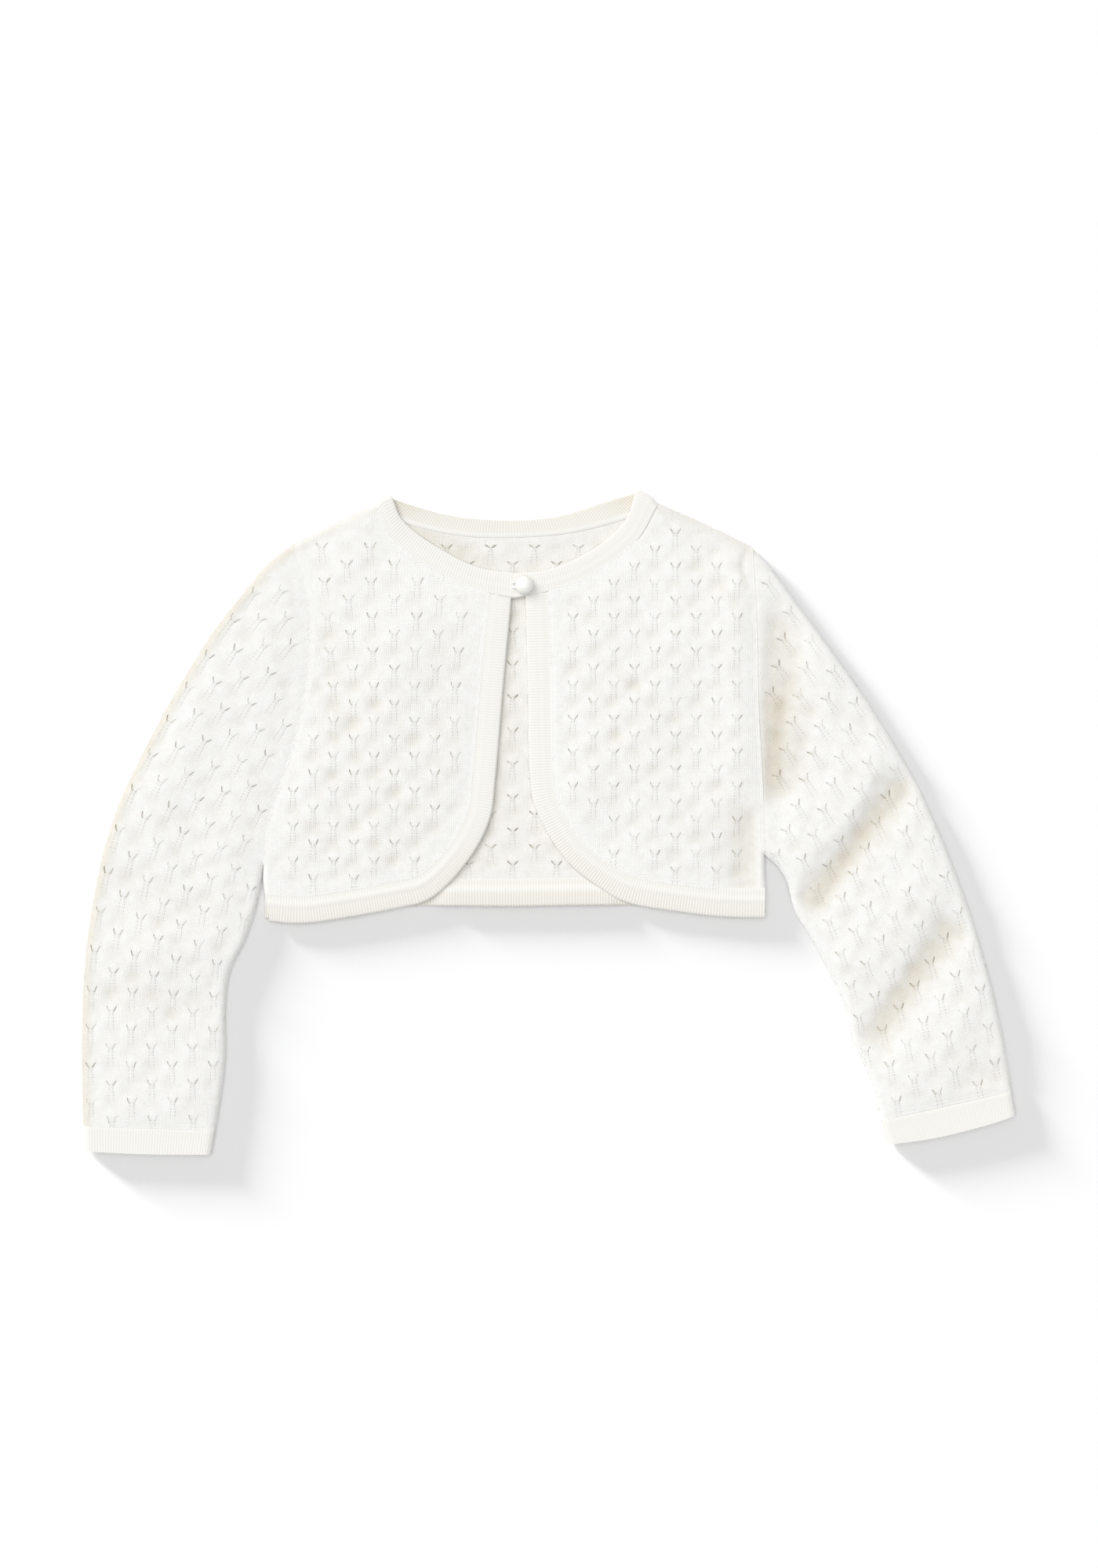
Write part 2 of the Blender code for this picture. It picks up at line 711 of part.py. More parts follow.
def make_loop(material):
    """The thread loop from the right neckband's end, round the button's shank and back."""
    height = FRONT_LEVEL + TRIM_WALL + SEAM_GAP + LOOP_THREAD / 2
    x, y = BUTTON_CENTRE
    root, spread = LOOP_ROOT
    points = [(root, y + spread), (root + 1.5, y + spread + 0.3)]
    for step in range(9):
        angle = math.radians(110 - 27.5 * step)
        points.append((x + LOOP_RADIUS * math.cos(angle), y + LOOP_RADIUS * math.sin(angle)))
    points += [(root + 1.5, y - spread - 0.3), (root, y - spread)]
    data = bpy.data.curves.new("button_loop", "CURVE")
    data.dimensions = "3D"
    data.bevel_depth = LOOP_THREAD / 2 * METRES
    data.bevel_resolution = 2
    data.use_fill_caps = True
    spline = data.splines.new("POLY")
    spline.points.add(len(points) - 1)
    for place, (px, py) in zip(spline.points, points):
        place.co = (px * METRES, py * METRES, height * METRES, 1)
    data.materials.append(material)
    item = bpy.data.objects.new("button_loop", data)
    bpy.data.collections["pointelle_cardigan"].objects.link(item)
    return item


def make_material(name, colour, roughness):
    """A plain surface in the piece's colour."""
    material = bpy.data.materials.new(name)
    material.use_nodes = True
    shader = material.node_tree.nodes["Principled BSDF"]
    shader.inputs["Base Color"].default_value = (*colour, 1)
    shader.inputs["Roughness"].default_value = roughness
    return material


def main():
    """Clears the scene and makes every piece of the cardigan."""
    for item in list(bpy.data.objects):
        bpy.data.objects.remove(item, do_unlink=True)
    bpy.context.scene.collection.children.link(bpy.data.collections.new("pointelle_cardigan"))
    knit = make_material("ivory cotton pointelle knit", (0.88, 0.86, 0.79), 0.9)
    rib = make_material("ivory cotton rib", (0.88, 0.86, 0.80), 0.85)
    pearl = make_material("pearl button", (0.90, 0.88, 0.83), 0.2)
    make_back(knit)
    make_back_hem(rib)
    make_neckband(rib)
    for side in SIDES:
        make_front(side, knit)
        make_front_band(side, rib)
        make_sleeve(side, knit)
        make_cuff(side, rib)
    make_button(pearl)
    make_loop(rib)


if __name__ == "__main__":
    main()
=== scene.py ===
"""Looks of a child's pointelle cropped cardigan in ivory cotton, laid flat with its front up.

Lengths in the tables are millimetres, in the frame of the CAD: +X is the wearer's left, +Y runs
to the neck and +Z up from the surface. The outlines are those of the part's source. Each knitted
piece is a mesh whose columns and rows follow the columns of motifs, and the two eyelets of a
motif are slots sunk between its faces.
"""

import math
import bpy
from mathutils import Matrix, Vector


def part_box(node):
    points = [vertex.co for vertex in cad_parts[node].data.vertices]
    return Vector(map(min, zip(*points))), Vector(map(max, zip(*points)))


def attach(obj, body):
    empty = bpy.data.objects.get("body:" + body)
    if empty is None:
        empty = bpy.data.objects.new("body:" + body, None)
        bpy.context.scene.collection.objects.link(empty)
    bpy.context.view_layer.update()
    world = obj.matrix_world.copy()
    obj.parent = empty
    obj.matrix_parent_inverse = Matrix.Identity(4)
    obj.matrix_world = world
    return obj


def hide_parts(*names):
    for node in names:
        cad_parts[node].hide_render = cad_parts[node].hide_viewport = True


bl_info = {
    "name": "Pointelle cardigan",
    "version": (1, 0, 0),
    "blender": (4, 5, 0),
    "location": "3D View > Sidebar > Cardigan",
    "description": "Knits, trims and buttons a pointelle cropped cardigan on its CAD model",
    "category": "Object",
}

from collections import namedtuple

import bmesh
import bpy
import numpy as np
from bpy.props import FloatProperty, FloatVectorProperty, PointerProperty

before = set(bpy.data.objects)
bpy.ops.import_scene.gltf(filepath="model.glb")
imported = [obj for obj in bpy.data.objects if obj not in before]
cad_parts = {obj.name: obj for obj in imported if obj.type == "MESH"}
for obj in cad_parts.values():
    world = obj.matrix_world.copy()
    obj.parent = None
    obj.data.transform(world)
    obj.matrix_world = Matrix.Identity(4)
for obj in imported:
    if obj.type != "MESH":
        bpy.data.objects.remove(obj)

METRES = 0.001

# Levels and widths. They are those of the part's source but for three: the free edge of the
# fronts curls less, the hem band of the back curls up, and the troughs of the sleeves go deeper
PANEL_WALL = 2.0
TRIM_WALL = 2.0
FRONT_LEVEL = 2.3
FRONT_LOFT = 2.2
LEFT_ARMHOLE_LOFT = 1.5
FRONT_EDGE_CURL = 0.15
FRONT_BAND_WIDTH = 14.0
HEM_BAND_WIDTH = 16.0
NECKBAND_TAB = {"right": 0.0, "left": 6.2}
MEETING = -0.9
HEM_CURL = 2.6
BAND_TUCK = 2.0
BAND_STEPS = 60
FOLD_RISE = 1.0
FOLD_BOW = 1.5
SLEEVE_EDGE_HEIGHT = 2.1
SLEEVE_EDGE_RADIUS = 4.5
SLEEVE_SEAM_HEIGHT = 4.3
SLEEVE_LOWEST = 3.3
SLEEVE_HIGHEST = 7.2
CUFF_HEIGHT = 4.9

# How far in from its edges a piece comes to its full height: a front from its long and its short
# edges, a sleeve from its armhole, its folds from the armhole and the cuff, and its end. The swell
# at the left armhole is highest a little inside it
FRONT_CROWN_REACH = {"long": 45, "short": 75}
SLEEVE_CROWN_REACH = 26
SLEEVE_FOLD_REACH = {"armhole": 16, "cuff": 20}
SLEEVE_END_REACH = 12
SWELL_INSIDE = 10

# Mesh columns and wales to one column of motifs, mesh rows and courses to one repeat
MESH_COLUMNS = 12
MESH_ROWS = 14
WALES = 8
COURSES = 16
HALF_COLUMNS = MESH_COLUMNS // 2
HALF_ROWS = MESH_ROWS // 2

SIDES = ("right", "left")
SIGN = {"right": -1, "left": 1}

Sleeve = namedtuple("Sleeve", "crown outer inner")
Fold = namedtuple("Fold", "x0 y0 x1 y1 width height")
Pucker = namedtuple("Pucker", "x y radius depth")
Pattern = namedtuple("Pattern", "x y pitch repeat fan spine")
Stretch = namedtuple("Stretch", "name margin line")
Knitting = namedtuple("Knitting", "faces plane column row lace sunk")

# Seams and free edges of the pieces, as in the part's source
SHOULDER = {
    "right": ((-126.5, 92.7), (-106.5, 102.8), (-88.7, 111.5), (-80, 115.2)),
    "left": ((135.4, 91), (118.4, 99.4), (100.4, 107.8), (81.7, 115.6)),
}
ARMHOLE = {
    "right": (
        (-144.2, -91.8), (-139.8, -63), (-130, -34.2), (-121.5, -0.5), (-117.2, 35), (-119.6, 66),
        (-126.5, 92.7),
    ),
    "left": ((142.6, -85.5), (140.9, -45), (138.6, 0), (137.8, 36), (136.8, 64), (135.4, 91)),
}
SIDE_SEAM = {
    "right": ((-143.4, -107.8), (-144.5, -99.5), (-144.2, -91.8)),
    "left": ((143.4, -105.6), (142.9, -96), (142.6, -85.5)),
}
FRONT_EDGE = {
    "right": (
        (-1.9, 61.8), (-6.3, 16), (-11.2, -42), (-14.8, -66), (-27, -89), (-47.3, -110),
        (-70.2, -116.8), (-108.7, -123.6), (-126, -125), (-140.6, -123.8),
    ),
    "left": (
        (5.8, 61.9), (7.2, 10), (8.3, -40), (13.2, -63), (28.6, -88), (49, -105), (66, -113.6),
        (93.2, -118.2), (118, -121.2), (143.2, -121.8),
    ),
}
CORNER_SHARE = {"right": 0.58, "left": 0.6}
NECK_SEAM = {
    "right": (
        (-1.3, 62.4), (-19.4, 65.7), (-33, 70.4), (-47.3, 77.9), (-60.8, 86.6), (-71, 96.8),
        (-78.6, 113),
    ),
    "left": (
        (-0.5, 62.3), (20.3, 66.2), (33.8, 70.2), (48.2, 77.4), (62.6, 87.6), (72.4, 98.8),
        (80.2, 113.4),
    ),
}
NECK_EDGE = {
    "right": (
        (-1.3, 76.4), (-15.8, 78), (-27.9, 82), (-40.1, 88.4), (-53.1, 96.5), (-65, 107),
        (-70, 118.4),
    ),
    "left": (
        (-0.5, 76.2), (13.1, 77), (23, 79.2), (34.7, 84.2), (50.4, 93.6), (63.4, 107),
        (68.6, 121.6),
    ),
}
BACK_NECK_SEAM = ((-60, 103.8), (-30, 97.4), (1.4, 96.6), (31, 99), (59, 105.8))
BACK_NECK_EDGE = ((-53, 112.8), (-31, 107.9), (-3, 106.2), (24, 108.4), (50, 116.2))
BACK_HEM_SEAM = (
    (-143.4, -107.8), (-110, -106.4), (-60, -100.4), (0, -99.4), (60, -99), (110, -103.4),
    (143.4, -105.6),
)
BACK_HEM_EDGE = (
    (-143.4, -122.4), (-110, -121.4), (-60, -115.4), (0, -115.2), (60, -114.6), (110, -118.4),
    (143.4, -120.8),
)
SLEEVES = {
    "right": Sleeve(
        crown=6.3,
        outer=(
            (-126.5, 92.7), (-141.8, 81), (-157.1, 63), (-177.3, 36), (-208.8, -18), (-232.7, -72),
            (-245, -132), (-248.4, -185), (-247.8, -240.4),
        ),
        inner=(
            (-144.2, -91.8), (-148.3, -115), (-155, -135), (-163.6, -153), (-166.2, -174),
            (-166.4, -206), (-171.6, -242.6),
        ),
    ),
    "left": Sleeve(
        crown=6.6,
        outer=(
            (135.4, 91), (144.9, 80.8), (158.9, 62), (198, 8), (230, -45), (253.6, -99),
            (270.2, -150), (279.6, -190), (284.6, -220.2),
        ),
        inner=(
            (142.6, -85.5), (149.8, -91.6), (155.8, -101), (160.4, -118), (171, -136), (187, -168),
            (192.6, -190), (203, -214), (209.4, -237),
        ),
    ),
}
CUFF_END = {
    "right": ((-247.2, -255.6), (-210, -257.2), (-174.2, -257.4)),
    "left": ((287, -235), (268, -241.2), (240, -248), (213.2, -251.8)),
}

# Main folds of the sleeves: both ends, width and height. The part's source has them too, with
# their lines and heights a little different
SLEEVE_FOLDS = {
    "right": (
        Fold(-238, -166, -172, -174, 10, -0.9), Fold(-240, -138, -170, -142, 11, 0.8),
        Fold(-236, -96, -176, -120, 10, -0.7), Fold(-160, 40, -205, -60, 13, 0.7),
        Fold(-150, 66, -160, -20, 12, -0.3),
    ),
    "left": (
        Fold(152, 52, 150, -52, 12, -2.3), Fold(212, -24, 162, -86, 13, 1.5),
        Fold(224, -42, 167, -117, 10, -3.2), Fold(244, -96, 188, -152, 12, 1.3),
        Fold(253, -124, 204, -194, 9.5, -2.8), Fold(268, -166, 220, -216, 12, 0.9),
        Fold(286, -208, 252, -222, 8, -1.2),
    ),
}

# Finer creases of each knitted piece, drawn one by one
CREASES = {
    "front_right": (Fold(-112, 60, -98, -20, 9, -0.3), Fold(-40, 40, -46, -40, 9, -0.25)),
    "front_left": (
        Fold(133.6, 90, 129.6, 78.8, 2.5, -0.9), Fold(129.6, 78.8, 136.8, 63.4, 2.5, -0.8),
        Fold(134, -60, 131, -108, 9, -1.2),
    ),
    "back_panel": (),
    "sleeve_right": (Fold(-206, -20, -180, -84, 7, -0.4),),
    "sleeve_left": (
        Fold(176, 34, 186, -30, 8, 0.7), Fold(147, 8, 146, -60, 8, -1.2),
        Fold(162, 20, 165, -50, 8, -0.8),
    ),
}

# Share of a fold's length over which it fades out at each end
FOLD_TAPER = 0.2

# Where the knitting puckers more deeply between its motifs
PUCKERS = {
    "front_right": (Pucker(-78, -66, 46, 0.65), Pucker(-98, 0, 30, 0.7)),
    "front_left": (Pucker(58, 0, 36, 0.65), Pucker(104, -66, 30, 0.3), Pucker(114, 74, 18, 0.5)),
    "back_panel": (),
    "sleeve_right": (Pucker(-205, -100, 34, 0.25), Pucker(-215, -160, 26, 0.3)),
    "sleeve_left": (Pucker(152, -10, 26, 0.4), Pucker(232, -140, 30, 0.3)),
}

# The run of the motifs on each piece: the centre of one motif, the pitch of the columns, the
# height of a repeat, how much the columns fan out upwards, and the line that they follow
PATTERNS = {
    "front_right": Pattern(-69.1, 62.2, 11.6, 20, 0.13, ((-69.1, -130), (-69.1, 120))),
    "front_left": Pattern(68.4, 42, 11.75, 19.35, 0, ((68.4, -130), (68.4, 120))),
    "back_panel": Pattern(-39.2, 91.5, 12.6, 19.1, 0, ((-39.2, -130), (-39.2, 120))),
    "sleeve_right": Pattern(
        -196.2, -91.2, 11.7, 20.6, 0,
        (
            (-202.8, -240.4), (-203.4, -186.2), (-200.4, -138.3), (-189.8, -85.6), (-168.7, -38.4),
            (-139.3, 11.8), (-121.5, 35.3),
        ),
    ),
    "sleeve_left": Pattern(
        215.6, -85.4, 11.9, 20.8, 0,
        (
            (240.2, -227.6), (226.8, -162), (211.6, -115), (190, -65.4), (160.5, -16.8),
            (122.5, 35.5),
        ),
    ),
}

# Heights between which the columns fan out and the share of that stretch after which they fan out
# no more, and how finely and how far past its ends a pattern's line is followed
FAN_START = 9.0
FAN_END = 63.0
FAN_MOST = 1.5
SPINE_POINTS = 400
SPINE_REACH = 200.0

# How far a piece's rim runs on under the piece that it is sewn to, and where it does
SEAM_LAP = 0.8
LAPPED = ("armhole", "opening", "hem", "neck", "cuff")

# How far a motif's centre stays from each kind of seam or edge
MARGINS = {
    "opening": 10, "hem": 4.5, "side": 9, "armhole": 6, "shoulder": 5, "neck": 3.5, "fold": 4,
    "cuff": 4,
}

# Eyelets of one motif: how far each is from its middle, its lean from the wale, its drop and the
# places of its four mesh rows as shares of its half length
MOTIF_SIZE = (11.75, 19.4)
EYELET_ASIDE = 2.0
EYELET_LEAN = 30
EYELET_DROP = -0.6
EYELET_SHARES = (-0.92, -0.35, 0.35, 0.92)

# How much wider and deeper than the usual the eyelets of a piece are, and the least and most that
# chance makes of the width and depth of a single one
OPENNESS = {"back_panel": 1.5}
WIDTH_CHANCE = (0.7, 1.15)
DEPTH_CHANCE = (0.3, 1.4)
SEED = 7

# How often the mesh is evened out round the eyelets of a motif and along the rim of a piece
EVENING_ROUNDS = 60
RIM_ROUNDS = 4

# Slots of one motif: the first mesh point of each, its rim from there as steps across and up, and
# the corners of the three faces of its bottom among the points of the rim
SLOT_STARTS = np.array(((2, -2), (-3, -2)))
SLOT_ACROSS = np.array((0, 1, 1, 1, 1, 0, 0, 0))
SLOT_UP = np.array((0, 0, 1, 2, 3, 3, 2, 1))
SLOT_BOTTOM = (0, 1, 2, 7, 7, 2, 3, 6, 6, 3, 4, 5)

# Relief of the knitting: the puckers' place above a motif, the height and form of its petals and
# stem, and how far in from an edge all of it is full
DIMPLE_RISE = 7.5
MOTIF_RISE = 0.16
PETAL_PLACE = 2.2
PETAL_SIZE = (2.0, 2.6)
STEM_WIDTH = 0.9
STEM_FOOT = -9.7
STEM_TOP = 0.5
RELIEF_REACH = 9

# Shade in the recesses, as the depth of pucker that looks as dark: in the slots, on the reverse
# side, beside seams, in the sleeves' troughs, and with their reach along the shoulders and along
# the outer fold of the right sleeve
SLOT_SHADE = 1.0
REVERSE_SHADE = 0.4
SEAM_SHADE = 3
TROUGH_SHADE = 0.4
SHOULDER_SHADE = (1.1, 9)
RIGHT_EDGE_SHADE = (2.4, 8)

# Shade of the back beside the edges that stand over it: its strength and reach at each edge
EDGE_SHADE = (
    (NECK_EDGE["right"][2:], 1.3, 9.0),
    (NECK_EDGE["left"], 0.3, 5.0),
    (FRONT_EDGE["right"], 0.8, 6.0),
)

# Section of a flat trim: across from seam to free edge, height in walls, share of the seam's ridge
# and share of the ribs
TRIM_SECTION = (
    (-0.05, 0.3, 0, 0), (-0.06, 0.9, 0, 0), (0, 0.96, 0, 0.1), (0.08, 0.94, 0, 0.4),
    (0.18, 0.93, 0.05, 0.5), (0.26, 0.95, 0.7, 0.1), (0.34, 0.98, 1.0, 0), (0.42, 0.97, 0.7, 0.1),
    (0.49, 0.95, 0.05, 0.7), (0.56, 0.96, 0, 1.0), (0.9, 0.95, 0, 1.0), (0.97, 0.84, 0, 0.9),
    (1.0, 0.52, 0, 0.5), (0.975, 0.17, 0, 0), (0.91, 0, 0, 0), (0.3, 0, 0, 0),
    (0.16, 0, -1.0, 0), (0.03, 0, -0.7, 0), (-0.04, 0.06, 0, 0),
)

# Dotted lines of a motif, in shares of a column and of a repeat: how far each is from the middle,
# its width, where it starts and ends, and its dots to a repeat
LINE_ASIDE = 0.133
LINE_WIDTH = 0.05
LINE_SHIFT = 0.65
LINE_FOOT = (0.0, 0.18)
LINE_TOP = (0.53, 0.56)
LINE_DOTS = 11.5

# Button, in metres: its rim, the bevel there, the share of its radius that its base has, and the
# radius of its shank
BUTTON_RIM = 0.0009
RIM_BEVEL = 0.0003
BASE_SHARE = 0.9
SHANK_RADIUS = 0.0015

# Thread loop: where it is sewn down, half the spread of its ends, its radius, and their dip
LOOP_ROOT = -1.8
LOOP_SPREAD = 1.2
LOOP_RADIUS = 2.5
LOOP_DIP = 1.3

# Lamps: height above the floor and softness in degrees, and whether the lamp leaves out the floor
# or lights nothing else
LAMPS = {"top": (85, 60, None), "key": (38, 42, "EXCLUDE"), "low": (5.9, 11.3, "INCLUDE")}
FLOOR_LEVEL = -0.0002
SENSOR_WIDTH = 36


def interpolate(wanted, known, rows):
    """The rows of a table at the wanted places between the known ones."""
    return np.stack([np.interp(wanted, known, rows[:, k]) for k in range(2)], axis=-1)


def unit(vectors):
    """The vectors with a length of one."""
    return vectors / np.linalg.norm(vectors, axis=-1, keepdims=True)


def quarter_turn(vectors):
    """Vectors of the plane turned a quarter to their right."""
    return np.stack([vectors[..., 1], -vectors[..., 0]], axis=-1)


def curve(points):
    """A smooth curve through the points, as a function of the share of its length."""
    points = np.array([tuple(point) for point in points], float)
    before = 2 * points[:1] - points[1:2]
    after = 2 * points[-1:] - points[-2:-1]
    known = np.concatenate([before, points, after])
    share = np.linspace(0, 1, 17)[:-1, None]
    samples = []
    for a, b, c, d in zip(known[:-3], known[1:-2], known[2:-1], known[3:]):
        out = b - a if len(points) == 2 else (c - a) / 2
        into = c - b if len(points) == 2 else (d - b) / 2
        cubic = 2 * (b - c) + out + into
        square = 3 * (c - b) - 2 * out - into
        samples.append(cubic * share**3 + square * share**2 + out * share + b)
    samples = np.concatenate(samples + [points[-1:]])
    steps = np.linalg.norm(np.diff(samples, axis=0), axis=1)
    length = np.concatenate([[0], np.cumsum(steps)])

    def at(shares):
        return interpolate(np.asarray(shares, float) * length[-1], length, samples)

    at.length = length[-1]
    return at


def ease_in(share):
    """A soft step from 0 to 1."""
    share = np.clip(share, 0, 1)
    return share * share * (3 - 2 * share)


def swell(distance, reach):
    """0 at an edge and 1 from the given reach on, rising steeply first as resting cloth does."""
    return 1 - (1 - np.clip(distance / reach, 0, 1)) ** 2


def fold_height(plane, folds):
    """Sum of the ridges and troughs at points of the plane."""
    height = np.zeros(plane.shape[:-1])
    x, y = plane[..., 0], plane[..., 1]
    for fold in folds:
        run = np.array([fold.x1 - fold.x0, fold.y1 - fold.y0])
        length = np.linalg.norm(run)
        along = ((x - fold.x0) * run[0] + (y - fold.y0) * run[1]) / length**2
        beside = ((y - fold.y0) * run[0] - (x - fold.x0) * run[1]) / length
        taper = ease_in(along / FOLD_TAPER + 0.5) * ease_in((1 - along) / FOLD_TAPER + 0.5)
        height += fold.height * taper * np.exp(-((beside / fold.width) ** 2))
    return height


def line_of(points, start=0.0, end=1.0):
    """A polyline with a point about every 3 mm along a stretch of the curve."""
    along = curve(points)
    steps = max(2, round(along.length * abs(end - start) / 3))
    return along(np.linspace(start, end, steps + 1))


def front_band_lines(side, shares):
    """Free edge and seam of a front band, from the neck, round the corner, to the side seam."""
    edge = curve(FRONT_EDGE[side])(shares)
    width = FRONT_BAND_WIDTH + (HEM_BAND_WIDTH - FRONT_BAND_WIDTH) * ease_in((shares - 0.5) / 0.25)
    inward = quarter_turn(unit(np.gradient(edge, axis=0))) * -SIGN[side]
    seam = edge + inward * width[:, None]
    neck = curve(NECK_SEAM[side])
    seam[0] = neck((NECKBAND_TAB[side] + FRONT_BAND_WIDTH) / neck.length)
    seam[-1] = SIDE_SEAM[side][0]
    return edge, seam


def outline_of(*seams):
    """Stretches of an outline, from the name, points and, where given, start and end of each."""
    return [Stretch(name, MARGINS[name], line_of(points, *span)) for name, points, *span in seams]


def front_outline(side):
    """Seams round a front, from the hem up the side, over the shoulder and down the opening."""
    seam = front_band_lines(side, np.linspace(0, 1, BAND_STEPS))[1]
    neck = NECK_SEAM[side]
    neck_end = (NECKBAND_TAB[side] + FRONT_BAND_WIDTH) / curve(neck).length
    corner = CORNER_SHARE[side]
    return outline_of(
        ("side", SIDE_SEAM[side]),
        ("armhole", ARMHOLE[side]),
        ("shoulder", SHOULDER[side]),
        ("neck", (SHOULDER[side][-1], neck[-1])),
        ("neck", neck, 1.0, neck_end),
        ("opening", seam, 0.0, corner),
        ("hem", seam, corner, 1.0),
    )


def back_outline():
    """Seams round the back, from the hem up the right side and down the left one."""
    right_end, left_end = (NECK_SEAM[side][-1] for side in SIDES)
    return outline_of(
        ("side", SIDE_SEAM["right"]),
        ("armhole", ARMHOLE["right"]),
        ("shoulder", SHOULDER["right"]),
        ("neck", (SHOULDER["right"][-1], right_end)),
        ("neck", (right_end, *BACK_NECK_SEAM, left_end)),
        ("neck", (left_end, SHOULDER["left"][-1])),
        ("shoulder", SHOULDER["left"][::-1]),
        ("armhole", ARMHOLE["left"][::-1]),
        ("side", SIDE_SEAM["left"][::-1]),
        ("hem", BACK_HEM_SEAM[::-1]),
    )


def sleeve_outline(side):
    """Edges of a laid sleeve, down its inner fold, across the cuff and up its outer fold."""
    sleeve = SLEEVES[side]
    return outline_of(
        ("armhole", ARMHOLE[side][::-1]),
        ("fold", sleeve.inner),
        ("cuff", (sleeve.inner[-1], sleeve.outer[-1])),
        ("fold", sleeve.outer[::-1]),
    )


def nearest_on(points, line):
    """Distance from each point to a polyline, and the nearest point on it."""
    best = np.full(len(points), np.inf)
    place = np.zeros_like(points)
    for start, end in zip(line[:-1], line[1:]):
        run = end - start
        share = np.clip(((points - start) @ run) / max(run @ run, 1e-9), 0, 1)
        spot = start + share[:, None] * run
        gap = ((points - spot) ** 2).sum(axis=1)
        closer = gap < best
        best[closer] = gap[closer]
        place[closer] = spot[closer]
    return np.sqrt(best), place


def distances(points, outline):
    """Distance from each point to the nearest stretch of each name."""
    far = {}
    for part in outline:
        found = nearest_on(points, part.line)[0]
        far[part.name] = np.minimum(far.get(part.name, np.inf), found)
    return far


def nearest_of(*distance):
    """The least of several distances at each point."""
    return np.minimum.reduce(distance)


def inside(points, outline):
    """Whether each point lies inside the closed outline."""
    x, y = points[..., 0], points[..., 1]
    corners = np.concatenate([part.line[:-1] for part in outline])
    result = np.zeros(x.shape, bool)
    for (x0, y0), (x1, y1) in zip(corners, np.roll(corners, -1, axis=0)):
        if y0 != y1:
            crosses = (y0 > y) != (y1 > y)
            result ^= crosses & (x < x0 + (y - y0) * (x1 - x0) / (y1 - y0))
    return result


def pattern_plane(pattern):
    """The function that lays the knitting out: a column of motifs and a repeat give a point."""
    spine = curve(pattern.spine)
    shares = np.linspace(0, 1, SPINE_POINTS)
    line = spine(shares)
    steps_on = SPINE_REACH / (spine.length / (SPINE_POINTS - 1))
    before, after = 2 * line[0] - line[1], 2 * line[-1] - line[-2]
    start = line[0] + (before - line[0]) * steps_on
    end = line[-1] + (after - line[-1]) * steps_on
    line = np.concatenate([[start], line, [end]])
    length = np.concatenate([[-SPINE_REACH], shares * spine.length, [spine.length + SPINE_REACH]])
    square = quarter_turn(unit(np.gradient(line, length, axis=0)))
    centre = np.array([pattern.x, pattern.y])
    foot = np.argmin(((line[1:-1] - centre) ** 2).sum(axis=1)) + 1
    aside = (centre - line[foot]) @ square[foot]

    def at(column, row):
        up = length[foot] + pattern.repeat * row
        point = interpolate(up, length, line)
        fan = np.clip((point[..., 1] - FAN_START) / (FAN_END - FAN_START), 0, FAN_MOST)
        out = aside + pattern.pitch * column * (1 + pattern.fan * fan)
        return point + interpolate(up, length, square) * out[..., None]

    return at


def evened(grid):
    """The grid with each inner point in the middle of its four neighbours."""
    mean = grid.copy()
    mean[1:-1, 1:-1] = (grid[2:, 1:-1] + grid[:-2, 1:-1] + grid[1:-1, 2:] + grid[1:-1, :-2]) / 4
    return mean


def eyelet_shifts(length, width):
    """How far each mesh point round a motif moves, so that its two gaps become slanted eyelets."""
    columns = np.arange(-HALF_COLUMNS, HALF_COLUMNS + 1)
    rows = np.arange(-HALF_ROWS, HALF_ROWS + 1)
    step = np.array(MOTIF_SIZE) / (MESH_COLUMNS, MESH_ROWS)
    place = np.stack(np.meshgrid(columns, rows, indexing="ij"), axis=-1) * step
    shift = np.zeros_like(place)
    fixed = np.zeros(place.shape[:2], bool)
    lean = math.radians(EYELET_LEAN)
    for sign in (-1, 1):
        axis = np.array([sign * math.sin(lean), math.cos(lean)])
        side = np.array([sign * math.cos(lean), -math.sin(lean)])
        for row, share in zip((-2, -1, 0, 1), EYELET_SHARES):
            for column, outward in ((2, -1), (3, 1)):
                spot = np.array([sign * EYELET_ASIDE, EYELET_DROP]) + axis * share * length / 2
                spot = spot + side * outward * width / 2 * math.sqrt(1 - share**2)
                here = (HALF_COLUMNS + sign * column, HALF_ROWS + row)
                shift[here] = spot - place[here]
                fixed[here] = True
    for _ in range(EVENING_ROUNDS):
        shift = np.where(fixed[..., None], shift, evened(shift))
    return shift / (MESH_COLUMNS * step[0], MESH_ROWS * step[1])


def snap(points, outline):
    """The points of a border on the outline, or lapped past it where it is sewn to another piece."""
    snapped = points.copy()
    gap = np.full(len(points), np.inf)
    for part in outline:
        found, place = nearest_on(points, part.line)
        if part.name in LAPPED:
            along = np.gradient(part.line, axis=0)
            nearest = np.argmin(((place[:, None] - part.line[None]) ** 2).sum(axis=-1), axis=1)
            outward = quarter_turn(unit(along[nearest]))
            outward[inside(place + outward, outline)] *= -1
            place = place + SEAM_LAP * outward
        closer = found < gap
        gap[closer] = found[closer]
        snapped[closer] = place[closer]
    for part in outline:
        nearest = np.argmin(((points - part.line[0]) ** 2).sum(axis=1))
        snapped[nearest] = part.line[0]
    return snapped


def motifs_over(outline, plane_at):
    """The first and last column and repeat of a grid of motifs that covers the outline."""
    corners = np.concatenate([part.line for part in outline])
    low, high = corners.min(axis=0) - 30, corners.max(axis=0) + 30
    columns, rows = np.meshgrid(np.arange(-30, 31), np.arange(-20, 21), indexing="ij")
    coarse = plane_at(columns, rows)
    near = ((coarse > low) & (coarse < high)).all(axis=-1)
    first = np.array([columns[near].min(), rows[near].min()])
    return first, np.array([columns[near].max(), rows[near].max()])


